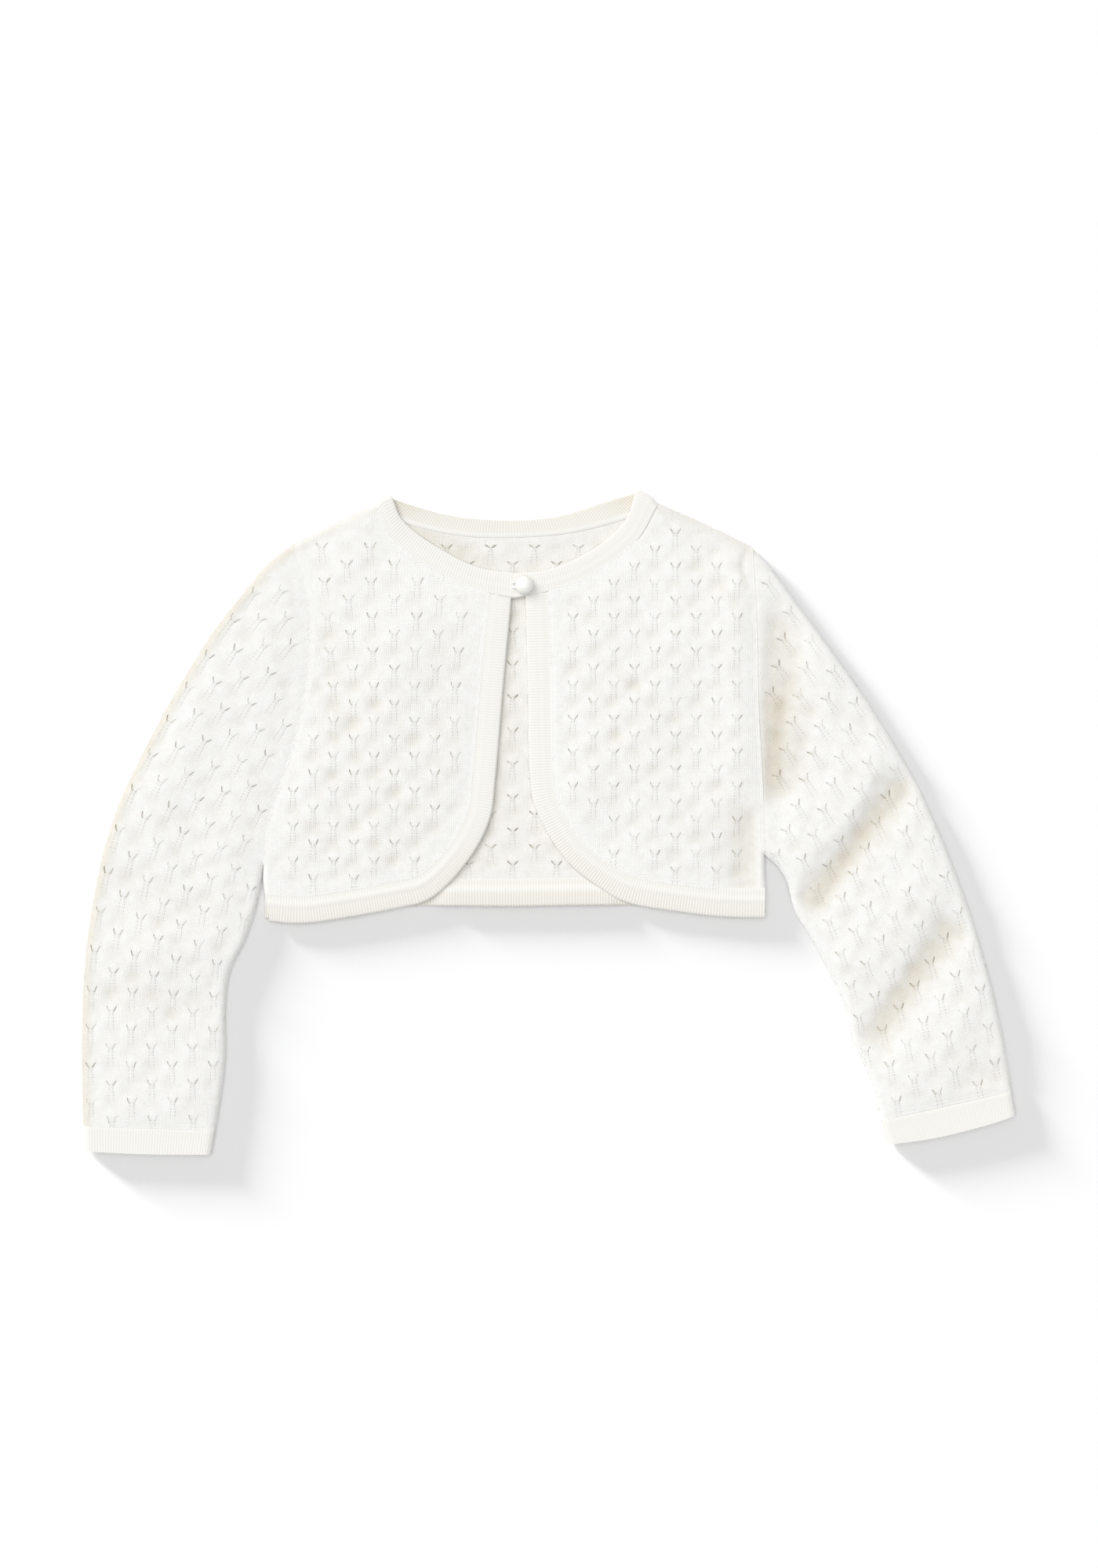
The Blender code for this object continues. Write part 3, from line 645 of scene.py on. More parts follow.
def motifs_inside(first, last, outline, plane_at):
    """Column and repeat of each motif that has room inside the outline."""
    motifs = []
    for n in range(first[0] + 1, last[0]):
        for m in range(first[1] + 1, last[1]):
            motifs.append((n, m + 0.5 * (n % 2)))
    motifs = np.array(motifs)
    centres = plane_at(motifs[:, 0], motifs[:, 1])
    good = inside(centres, outline)
    for part in outline:
        good &= nearest_on(centres, part.line)[0] > part.margin
    return motifs[good]


def faces_inside(plane, outline):
    """Which faces of the grid lie inside the outline, without those that hang by one side."""
    middle = (plane[:-1, :-1] + plane[1:, :-1] + plane[:-1, 1:] + plane[1:, 1:]) / 4
    kept = inside(middle, outline)
    for _ in range(3):
        beside = np.zeros(kept.shape, int)
        beside[1:] += kept[:-1]
        beside[:-1] += kept[1:]
        beside[:, 1:] += kept[:, :-1]
        beside[:, :-1] += kept[:, 1:]
        kept &= beside >= 2
    return kept


def corners_kept(kept):
    """How many of the four faces round each mesh point are kept."""
    touch = np.zeros((kept.shape[0] + 1, kept.shape[1] + 1), int)
    for i in (0, 1):
        for j in (0, 1):
            touch[i : i + kept.shape[0], j : j + kept.shape[1]] += kept
    return touch


def settle_border(plane, touch, outline):
    """Moves the border of the mesh onto the outline, and evens out the points beside it."""
    border = (touch > 0) & (touch < 4)
    plane[border] = snap(plane[border], outline)
    beside = border.copy()
    for axis in (0, 1):
        for step in (-1, 1):
            beside |= np.roll(border, step, axis=axis)
    soft = (touch == 4) & beside
    for _ in range(RIM_ROUNDS):
        plane[soft] = evened(plane)[soft]


def sink_slots(grids, top, kept, slots):
    """Faces and points of the mesh. A slot's bottom has points of its own under its rim's."""
    number = np.full(top.shape, -1)
    number[top] = np.arange(top.sum())
    x, y = slots.T
    rim = (x[:, None] + SLOT_ACROSS, y[:, None] + SLOT_UP)
    high = number[rim]
    low = top.sum() + np.arange(high.size).reshape(high.shape)
    walls = np.stack([high, np.roll(high, -1, 1), np.roll(low, -1, 1), low], axis=-1)
    bottoms = low[:, SLOT_BOTTOM]
    for step in range(3):
        kept[x, y + step] = False
    faces = np.stack([number[:-1, :-1], number[1:, :-1], number[1:, 1:], number[:-1, 1:]], axis=-1)
    faces = np.concatenate([faces[kept], walls.reshape(-1, 4), bottoms.reshape(-1, 4)])
    points = [np.concatenate([grid[top], grid[rim].reshape(-1, *grid.shape[2:])]) for grid in grids]
    return faces, points


def knit(name, outline):
    """The flat mesh of one piece of pointelle, cut to its outline, with the slots of its eyelets."""
    settings = bpy.context.scene.cardigan_knit
    plane_at = pattern_plane(PATTERNS[name])
    first, last = motifs_over(outline, plane_at)
    i = np.arange(first[0] * MESH_COLUMNS, last[0] * MESH_COLUMNS + 1)
    j = np.arange(first[1] * MESH_ROWS, last[1] * MESH_ROWS + 1)
    column, row = np.meshgrid(i / MESH_COLUMNS, j / MESH_ROWS, indexing="ij")
    kept = faces_inside(plane_at(column, row), outline)

    uneven = np.random.default_rng(SEED)
    openness = OPENNESS.get(name, 1.0)
    shift = eyelet_shifts(settings.eyelet_length / METRES, settings.eyelet_width / METRES)
    lace = np.zeros(column.shape)
    moved = np.stack([column, row], axis=-1)
    slots = []
    for n, m in motifs_inside(first, last, outline, plane_at):
        x = int(round(n * MESH_COLUMNS)) - i[0]
        y = int(round(m * MESH_ROWS)) - j[0]
        across = slice(x - HALF_COLUMNS, x + HALF_COLUMNS + 1)
        opened = openness * uneven.uniform(*WIDTH_CHANCE)
        moved[across, y - HALF_ROWS : y + HALF_ROWS + 1] += opened * shift
        lace[across, y - HALF_ROWS - 1 : y + HALF_ROWS + 1] = 1
        slots.append((x, y) + SLOT_STARTS)

    slots = np.concatenate(slots)
    plane = plane_at(moved[..., 0], moved[..., 1])
    touch = corners_kept(kept)
    settle_border(plane, touch, outline)
    faces, points = sink_slots((plane, column, row, lace), touch > 0, kept, slots)
    sunk = np.zeros(len(points[0]))
    depths = openness * uneven.uniform(*DEPTH_CHANCE, len(slots))
    sunk[(touch > 0).sum() :] = np.repeat(depths, len(SLOT_UP))
    return Knitting(faces, *points, sunk)


def laid_waves(x, y):
    """The slight rise and fall of cloth that was laid down by hand."""
    height = 0.3 * np.sin((x + 0.5 * y) / 7.5) * np.sin((y - 0.3 * x) / 11.0 + 1.0)
    return height + 0.25 * np.sin((x - 0.8 * y) / 13.0 + 2.0)


def relief(name, knitting, far):
    """Height of the puckers between the motifs and of the small petals, and the puckers' depth,
    which is painted as shade.
    """
    pattern = PATTERNS[name]
    column, row = knitting.column, knitting.row
    wave = np.cos(math.pi * column) * np.cos(2 * math.pi * (row - DIMPLE_RISE / pattern.repeat))
    depth = np.full(len(column), bpy.context.scene.cardigan_knit.dimple / METRES)
    for pucker in PUCKERS[name]:
        away = ((knitting.plane - (pucker.x, pucker.y)) ** 2).sum(axis=1)
        depth += pucker.depth * np.exp(-away / pucker.radius**2)
    depth *= 1 + 0.3 * np.sin(2.3 * column + 3.1 * row)
    depth *= 1 + 0.25 * np.sin(1.3 * column - 4.4 * row + 1.0)
    dimple = depth * (0.5 + 0.5 * wave) ** 2

    nearest = np.round(column)
    aside = np.abs(column - nearest) * pattern.pitch
    up = ((row - nearest / 2 + 0.5) % 1 - 0.5) * pattern.repeat
    wide, high = PETAL_SIZE
    petal = MOTIF_RISE * np.exp(-((aside / wide) ** 2) - ((up - PETAL_PLACE) / high) ** 2)
    stem = MOTIF_RISE * np.exp(-((aside / STEM_WIDTH) ** 2))
    stem = stem * ease_in((up - STEM_FOOT) / 3) * ease_in((STEM_TOP - up) / 2)
    inner = ease_in((nearest_of(*far.values()) - 1) / RELIEF_REACH)
    rise = (petal + stem) * knitting.lace - dimple + laid_waves(*knitting.plane.T)
    return rise * inner, dimple * inner


def seam_drop(distance, depth=0.12):
    """How far a panel's rim rounds down into its seam."""
    return depth * (1 - np.clip(distance / 2.5, 0, 1)) ** 2


def linear(code):
    """An sRGB hex colour as linear red, green and blue."""
    parts = [int(code[place : place + 2], 16) / 255 for place in (0, 2, 4)]
    return [part / 12.92 if part <= 0.04045 else ((part + 0.055) / 1.055) ** 2.4 for part in parts]


def mesh_object(name, points, faces, material):
    """An object in the scene with the given mesh, in millimetres, and one material."""
    mesh = bpy.data.meshes.new(name)
    mesh.from_pydata((np.asarray(points) * METRES).tolist(), [], [list(face) for face in faces])
    mesh.materials.append(material)
    mesh.shade_smooth()
    item = bpy.data.objects.new(name, mesh)
    bpy.context.scene.collection.objects.link(item)
    return item


def add_map(item, name, values):
    """A UV map from one pair of values for each mesh point."""
    corners = np.empty(len(item.data.loops), int)
    item.data.loops.foreach_get("vertex_index", corners)
    layer = item.data.uv_layers.new(name=name)
    layer.data.foreach_set("uv", np.asarray(values, np.float32)[corners].ravel())


def add_mark(item, name, values):
    """A number for each mesh point that the material reads."""
    mark = item.data.attributes.new(name, "FLOAT", "POINT")
    mark.data.foreach_set("value", np.asarray(values, np.float32))


def select_only(item):
    bpy.ops.object.select_all(action="DESELECT")
    item.select_set(True)
    bpy.context.view_layer.objects.active = item


def thicken(item, wall):
    """Gives a sheet its thickness, inwards from the face that it was made with."""
    select_only(item)
    solid = item.modifiers.new("Wall", "SOLIDIFY")
    solid.thickness = wall
    solid.offset = -1
    bpy.ops.object.modifier_apply(modifier=solid.name)
    bpy.ops.object.shade_smooth_by_angle(angle=math.radians(55))


def seat(item, node):
    """Puts a piece on the cardigan in place of its CAD solid."""
    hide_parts(node)
    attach(item, "root")


def cloth(name, knitting, height, painted_shade, material):
    """A sheet of knitting at its height, with its wall, its map and its marks, the painted shade
    among them.
    """
    settings = bpy.context.scene.cardigan_knit
    height = height - settings.eyelet_depth / METRES * knitting.sunk
    points = np.concatenate([knitting.plane, height[:, None]], axis=1)
    item = mesh_object(name, points, knitting.faces, material)
    add_map(item, "Knit", np.stack([knitting.column, knitting.row], axis=1))
    add_mark(item, "Lace", knitting.lace)
    # Painted shade: that of the puckers, creases and seams, and darker still in the slots
    add_mark(item, "Hollow", painted_shade + SLOT_SHADE * knitting.sunk)
    thicken(item, settings.wall)
    return item


def armhole_lift(plane, away):
    """Height of the swell inside the left armhole, falling away into the valley beside it."""
    # Share of the way from the hem to the shoulder
    up = (plane[:, 1] + 112) / 227
    ends = ease_in((up - 0.1) / 0.25) * ease_in((0.97 - up) / 0.2)
    return 1.3 * LEFT_ARMHOLE_LOFT * np.exp(-((away / 14) ** 2)) * ends


def rim_shade(shade, distance):
    """Shade that fades away from an edge, from its strength and reach."""
    strength, reach = shade
    return strength * (1 - ease_in(distance / reach))


def knit_front(side, material):
    """One front: its crowned sheet, lofted over the back, with the edge of the left one's armhole
    raised.
    """
    name = f"front_{side}"
    outline = front_outline(side)
    knitting = knit(name, outline)
    plane = knitting.plane
    far = distances(plane, outline)
    beside = nearest_of(far["side"], far["armhole"])
    top = nearest_of(far["shoulder"], far["neck"])
    long, short = FRONT_CROWN_REACH["long"], FRONT_CROWN_REACH["short"]
    loft = swell(beside, long) * swell(far["opening"], long)
    loft = loft * swell(far["hem"], short) * swell(top, short)
    height = FRONT_LEVEL + PANEL_WALL + FRONT_LOFT * loft
    if side == "left":
        height += armhole_lift(plane, beside - SWELL_INSIDE)
    bumps, painted_shade = relief(name, knitting, far)
    creases = fold_height(plane, CREASES[name]) * ease_in(nearest_of(beside, top) / 6)
    height += bumps + creases - seam_drop(nearest_of(*far.values()))
    height -= seam_drop(nearest_of(far["side"], far["shoulder"]), depth=1.3)
    # The corner at the neck lies on the fold of the neckband
    corner = ((plane - NECK_SEAM[side][-1]) ** 2).sum(axis=1)
    height += 0.7 * FOLD_RISE * np.exp(-corner / 14**2)
    # Painted shade in the puckers and creases, along the armhole seam and along the shoulder
    painted_shade = painted_shade + np.maximum(-creases, 0) + SEAM_SHADE * seam_drop(far["armhole"])
    painted_shade += rim_shade(SHOULDER_SHADE, far["shoulder"])
    return cloth(f"knit_{name}", knitting, height, painted_shade, material)


def knit_back(material):
    """The back, flat on the surface."""
    outline = back_outline()
    knitting = knit("back_panel", outline)
    far = distances(knitting.plane, outline)
    bumps, painted_shade = relief("back_panel", knitting, far)
    height = PANEL_WALL - 0.05 + bumps - seam_drop(nearest_of(*far.values()))
    settings = bpy.context.scene.cardigan_knit
    room = (height * METRES - settings.wall) / settings.eyelet_depth
    knitting = knitting._replace(sunk=np.minimum(knitting.sunk, room))
    # Painted shade over the whole back, which lies reverse side up, and beside the edges of the
    # fronts that stand over it
    painted_shade = painted_shade + REVERSE_SHADE
    for line, strength, reach in EDGE_SHADE:
        painted_shade += strength * np.exp(-((nearest_on(knitting.plane, line_of(line))[0] / reach) ** 2))
    return cloth("knit_back_panel", knitting, height, painted_shade, material)


def sleeve_top(side, plane, far, outer, folds):
    """Height of the upper side of a sleeve between its two folded edges."""
    inner = nearest_on(plane, line_of(SLEEVES[side].inner))[0]
    share = outer / np.maximum(outer + inner, 1e-6)
    crown = (4 * share * (1 - share)) ** 0.6 * swell(far["armhole"], SLEEVE_CROWN_REACH)
    top = SLEEVE_SEAM_HEIGHT + (SLEEVES[side].crown - SLEEVE_SEAM_HEIGHT) * crown
    for end, reach in SLEEVE_FOLD_REACH.items():
        folds = folds * swell(far[end], reach)
    top = np.clip(top + folds, SLEEVE_LOWEST, SLEEVE_HIGHEST)
    top += (CUFF_HEIGHT + 0.15 - top) * (1 - swell(far["cuff"], SLEEVE_END_REACH))
    if side == "left":
        top += armhole_lift(plane, far["armhole"] + SWELL_INSIDE)
    return top


def knit_sleeve(side, material):
    """One sleeve, a flattened tube with round folded edges, its folds raised on top."""
    name = f"sleeve_{side}"
    outline = sleeve_outline(side)
    knitting = knit(name, outline)
    plane = knitting.plane
    far = distances(plane, outline)
    outer = nearest_on(plane, line_of(SLEEVES[side].outer))[0]
    folds = fold_height(plane, SLEEVE_FOLDS[side] + CREASES[name])
    bumps, painted_shade = relief(name, knitting, far)
    # Painted shade in the puckers and the troughs, along the armhole seam and along the outer fold
    # of the right sleeve
    painted_shade = painted_shade + TROUGH_SHADE * np.maximum(-folds, 0) ** 1.6
    if side == "right":
        painted_shade += rim_shade(RIGHT_EDGE_SHADE, outer)
    painted_shade += SEAM_SHADE * seam_drop(far["armhole"])
    top = sleeve_top(side, plane, far, outer, folds)
    top += bumps - seam_drop(nearest_of(far["armhole"], far["cuff"]), depth=0.35)
    round_off = np.sqrt(1 - (1 - np.clip(far["fold"] / SLEEVE_EDGE_RADIUS, 0, 1)) ** 2)
    over = SLEEVE_EDGE_HEIGHT + (top - SLEEVE_EDGE_HEIGHT) * round_off
    under = SLEEVE_EDGE_HEIGHT * (1 - round_off)
    depth = bpy.context.scene.cardigan_knit.eyelet_depth / METRES
    under = under + 2 * depth * knitting.sunk

    # The underside has points of its own, but for those on the two folds
    free = far["fold"] >= 0.02
    below = np.where(free, -1, np.arange(len(plane)))
    below[free] = len(plane) + np.arange(free.sum())
    faces = np.concatenate([knitting.faces, below[knitting.faces][:, ::-1]])
    whole = Knitting(faces, *[np.concatenate([values, values[free]]) for values in knitting[1:]])
    height = np.concatenate([over, under[free]])
    painted_shade = np.concatenate([painted_shade, np.zeros(free.sum())])
    return cloth(f"knit_{name}", whole, height, painted_shade, material)


def trim(name, seam, edge, lift, normal, ridge, drawn_in_and_shade, material, inner_ridge=0.0, bow=None):
    """A ribbed strip from its seam line to its free edge, with the linked seam standing proud.

    The ribs are deeper where the strip is drawn in, and their furrows take more painted shade there."""
    settings = bpy.context.scene.cardigan_trim
    pitch, rib = settings.rib_pitch / METRES, settings.rib_depth / METRES
    steps = np.linalg.norm(np.diff((seam + edge) / 2, axis=0), axis=1)
    ribs = np.concatenate([[0], np.cumsum(steps)]) / pitch
    across, height, on_ridge, ribbed = np.array(TRIM_SECTION).T
    wave = rib * ((1 + 2 * drawn_in_and_shade) * np.cos(2 * math.pi * ribs))[:, None] * ribbed
    raised = ridge[:, None] * np.maximum(on_ridge, 0) + inner_ridge * np.minimum(on_ridge, 0)
    level = height * TRIM_WALL + wave + raised
    low = np.concatenate([seam, lift[:, :1]], axis=1)[:, None]
    high = np.concatenate([edge, lift[:, 1:]], axis=1)[:, None]
    rings = low + (high - low) * across[None, :, None] + normal[:, None] * level[..., None]
    if bow is not None:
        rings[..., :2] += bow[:, None] * (1 - (2 * np.clip(across, 0, 1) - 1) ** 2)[None, :, None]
    count, sides = rings.shape[:2]
    start = np.arange(count - 1)[:, None] * sides
    here, beside = np.arange(sides), (np.arange(sides) + 1) % sides
    corners = (start + here, start + beside, start + sides + beside, start + sides + here)
    faces = [list(face) for face in np.stack(corners, axis=-1).reshape(-1, 4)]
    faces += [list(range(sides)), list(range((count - 1) * sides, count * sides))]
    item = mesh_object(name, rings.reshape(-1, 3), faces, material)
    width = np.linalg.norm(edge - seam, axis=1)[:, None] * across
    place = np.stack([np.broadcast_to(ribs[:, None], width.shape), width], axis=-1)
    add_map(item, "Rib", place.reshape(-1, 2))
    # Painted shade, as deep as the strip is drawn in: in the furrows of the ribs on top, and over
    # the face beneath, which lies up on the back of the neckband
    on_top = np.arange(sides) <= across.argmax()
    on_ribs = np.where(on_top, ribbed, np.interp(across, (0.2, 0.35), (0.0, 1.0)))
    add_mark(item, "Drawn in", (drawn_in_and_shade[:, None] * on_ribs).ravel())
    bm = bmesh.new()
    bm.from_mesh(item.data)
    bmesh.ops.recalc_face_normals(bm, faces=bm.faces[:])
    bm.to_mesh(item.data)
    bm.free()
    item.data.shade_smooth()
    return item


def rib_shares(length):
    """Shares of a trim's length with four rings to each rib."""
    settings = bpy.context.scene.cardigan_trim
    return np.linspace(0, 1, 4 * round(length * METRES / settings.rib_pitch) + 1)


def facing_up(shares):
    return np.broadcast_to((0.0, 0.0, 1.0), (len(shares), 3))


def trim_front(side, material):
    """The trim of one front: its opening edge, its round corner and its hem, in one strip."""
    shares = rib_shares(curve(FRONT_EDGE[side]).length)
    coarse = np.linspace(0, 1, BAND_STEPS)
    seam = interpolate(shares, coarse, front_band_lines(side, coarse)[1])
    edge = curve(FRONT_EDGE[side])(shares)
    # The band's top end runs on under the neckband
    tuck = np.clip(1 - shares * 40, 0, 1)
    for line in (edge, seam):
        line[:, 1] += BAND_TUCK * tuck
    curl = FRONT_EDGE_CURL * np.sin(math.pi * np.clip(shares / 0.85, 0, 1))
    level = FRONT_LEVEL - 0.15 * tuck
    lift = np.stack([level, level + curl], axis=1)
    # The opening edge lies flat and loose, and the hem is drawn in, with painted shade in its ribs'
    # furrows
    ridge = 0.04 + 0.46 * ease_in((shares - 0.45) / 0.25)
    drawn_in_and_shade = 0.42 * ease_in((shares - 0.38) / 0.25)
    name = f"rib_front_band_{side}"
    return trim(name, seam, edge, lift, facing_up(shares), ridge, drawn_in_and_shade, material)


def trim_back_hem(material):
    """The ribbed band along the hem of the back."""
    seam, edge = curve(BACK_HEM_SEAM), curve(BACK_HEM_EDGE)
    shares = rib_shares(seam.length)
    # The free edge curls up between the fronts
    middle = edge(shares)[:, 0]
    curl = HEM_CURL * ease_in((middle + 50) / 14) * ease_in((66 - middle) / 14)
    lift = np.stack([np.zeros(len(shares)), curl], axis=1)
    # The band is drawn in, with painted shade in its ribs' furrows
    ridge, drawn_in_and_shade = np.full(len(shares), 0.1), np.full(len(shares), 0.9)
    up = facing_up(shares)
    return trim("rib_back_hem_band", seam(shares), edge(shares), lift, up, ridge, drawn_in_and_shade, material)


def trim_neck(material):
    """The ribbed band round the neck, folded over at both ends of the shoulders."""
    middle = TRIM_WALL / 2
    level = FRONT_LEVEL + middle
    radius = (level + FOLD_RISE - middle) / 2
    ends, outwards = {}, {}
    for side in SIDES:
        ends[side] = [np.array(line[side][-1], float) for line in (NECK_SEAM, NECK_EDGE)]
        outwards[side] = quarter_turn(unit(ends[side][1] - ends[side][0])) * SIGN[side]
    laid = []

    def lay(seam, edge, height, normal):
        bow = np.zeros((len(seam), 2))
        for side in SIDES:
            away = np.linalg.norm((seam + edge) / 2 - sum(ends[side]) / 2, axis=1)
            bow += outwards[side] * FOLD_BOW * np.exp(-((away / 5.0) ** 2))[:, None]
        height = np.broadcast_to(height, len(seam))
        laid.append((seam, edge, height, np.broadcast_to(normal, (len(seam), 3)), bow))

    def lay_front(side, shares, first):
        seam, edge = curve(NECK_SEAM[side])(shares), curve(NECK_EDGE[side])(shares)
        # The two ends touch on one line
        for line in (seam, edge):
            line[:, 0] += (MEETING - line[first, 0]) * np.clip(1 - shares * 30, 0, 1)
        lay(seam, edge, level + FOLD_RISE * ease_in((shares - 0.7) / 0.3), (0, 0, 1))

    def turn_over(side, angles):
        seam, edge = ends[side]
        outward = outwards[side] * np.cos(angles)[:, None]
        reach = outwards[side] * radius * np.cos(angles)[:, None]
        normal = np.concatenate([outward, np.sin(angles)[:, None]], axis=1)
        lay(seam + reach, edge + reach, middle + radius + radius * np.sin(angles), normal)

    quarter = math.pi / 2
    bends = np.linspace(quarter, -quarter, 15)[1:-1]
    lay_front("right", rib_shares(curve(NECK_SEAM["right"]).length), 0)
    turn_over("right", bends)
    back_seam = curve((NECK_SEAM["right"][-1], *BACK_NECK_SEAM, NECK_SEAM["left"][-1]))
    back_edge = curve((NECK_EDGE["right"][-1], *BACK_NECK_EDGE, NECK_EDGE["left"][-1]))
    shares = rib_shares(back_seam.length)
    lay(back_seam(shares), back_edge(shares), middle, (0, 0, -1))
    turn_over("left", bends[::-1])
    lay_front("left", rib_shares(curve(NECK_SEAM["left"]).length)[::-1], -1)
    seam, edge, height, normal, bow = (np.concatenate(parts) for parts in zip(*laid))

    # Half a wall below the middle of the band, along the way that its face looks
    flat = normal[:, :2] * middle
    lift = np.repeat((height - normal[:, 2] * middle)[:, None], 2, axis=1)
    ridge = np.full(len(seam), 0.06)
    # The ribs are deepest, and their painted shade darkest, on the back near the folds
    away = [np.linalg.norm((seam + edge) / 2 - end, axis=1) for side in SIDES for end in ends[side]]
    deep = np.exp(-((nearest_of(*away) / 16) ** 2))
    drawn_in_and_shade = 0.1 + (0.75 + 0.9 * deep) * np.clip(-normal[:, 2], 0, 1)
    strip = (seam - flat, edge - flat, lift, normal, ridge, drawn_in_and_shade)
    return trim("rib_neckband", *strip, material, inner_ridge=0.3, bow=bow)


def trim_cuff(side, material):
    """One ribbed cuff, a short flattened tube at the end of its sleeve."""
    sleeve = SLEEVES[side]
    settings = bpy.context.scene.cardigan_trim
    seam = curve((sleeve.outer[-1], sleeve.inner[-1]))
    end = curve(CUFF_END[side])
    shares = rib_shares(seam.length)
    along = np.array([0.0, 0.04, 0.12, 0.2, 0.26, 0.5, 0.75, 0.93, 1.0])
    plane = seam(shares)[:, None] * (1 - along[:, None]) + end(shares)[:, None] * along[:, None]
    from_start = shares * seam.length
    from_edge = nearest_of(from_start, from_start[-1] - from_start)[:, None]
    round_off = np.sqrt(1 - (1 - np.clip(from_edge / SLEEVE_EDGE_RADIUS, 0, 1)) ** 2)
    pitch = settings.rib_pitch / METRES
    wave = settings.rib_depth / METRES * np.cos(2 * math.pi * from_start / pitch)
    ridge = np.interp(along, (0.0, 0.04, 0.12, 0.22, 0.3), (-0.55, -0.1, 0.12, 0.1, 0.0))
    ribbed = np.interp(along, (0.2, 0.3), (0.0, 1.0))
    top = CUFF_HEIGHT + ridge[None] + wave[:, None] * ribbed[None]
    over = SLEEVE_EDGE_HEIGHT + (top - SLEEVE_EDGE_HEIGHT) * round_off
    under = np.broadcast_to(SLEEVE_EDGE_HEIGHT * (1 - round_off), over.shape)
    upper = np.concatenate([plane, over[..., None]], axis=-1)
    lower = np.concatenate([plane, under[..., None]], axis=-1)[-2:0:-1]
    ring = np.concatenate([upper, lower])
    count, rows = ring.shape[:2]
    number = np.arange(count * rows).reshape(count, rows)
    after = np.roll(number, -1, axis=0)
    corners = (number[:, :-1], number[:, 1:], after[:, 1:], after[:, :-1])
    faces = np.stack(corners, axis=-1).reshape(-1, 4)
    if side == "left":
        faces = faces[:, ::-1]
    item = mesh_object(f"rib_cuff_{side}", ring.reshape(-1, 3), faces, material)
    turns = np.concatenate([from_start, from_start[-2:0:-1]]) / pitch
    width = np.linalg.norm(end(0.5) - seam(0.5)) * along
    place = np.stack(np.broadcast_arrays(turns[:, None], width[None]), axis=-1)
    add_map(item, "Rib", place.reshape(-1, 2))
    add_mark(item, "Drawn in", np.zeros(count * rows))
    thicken(item, settings.wall)
    return item


def add(tree, kind, links=(), **settings):
    """Adds a shader node with its settings, and sets or links its inputs by name or number."""
    node = tree.nodes.new("ShaderNode" + kind)
    for name, value in settings.items():
        setattr(node, name, value)
    for key, value in dict(links).items():
        if isinstance(value, bpy.types.NodeSocket):
            tree.links.new(value, node.inputs[key])
        else:
            node.inputs[key].default_value = value
    return node.outputs[0]


def new_material(name, colour, values):
    """A material with its plain values on the shader's own sockets."""
    material = bpy.data.materials.new(name)
    material.use_nodes = True
    shader = material.node_tree.nodes["Principled BSDF"]
    shader.inputs["Base Color"].default_value = (*colour, 1)
    for key, value in values.items():
        shader.inputs[key].default_value = value
    return material, material.node_tree, shader


def cotton(roughness):
    """Values of matt cotton, with the soft sheen of its loose fibres."""
    sheen = bpy.context.scene.cardigan_knit.sheen
    values = {"Roughness": roughness, "Specular IOR Level": 0.25}
    return {**values, "Sheen Weight": sheen, "Sheen Roughness": 0.6}


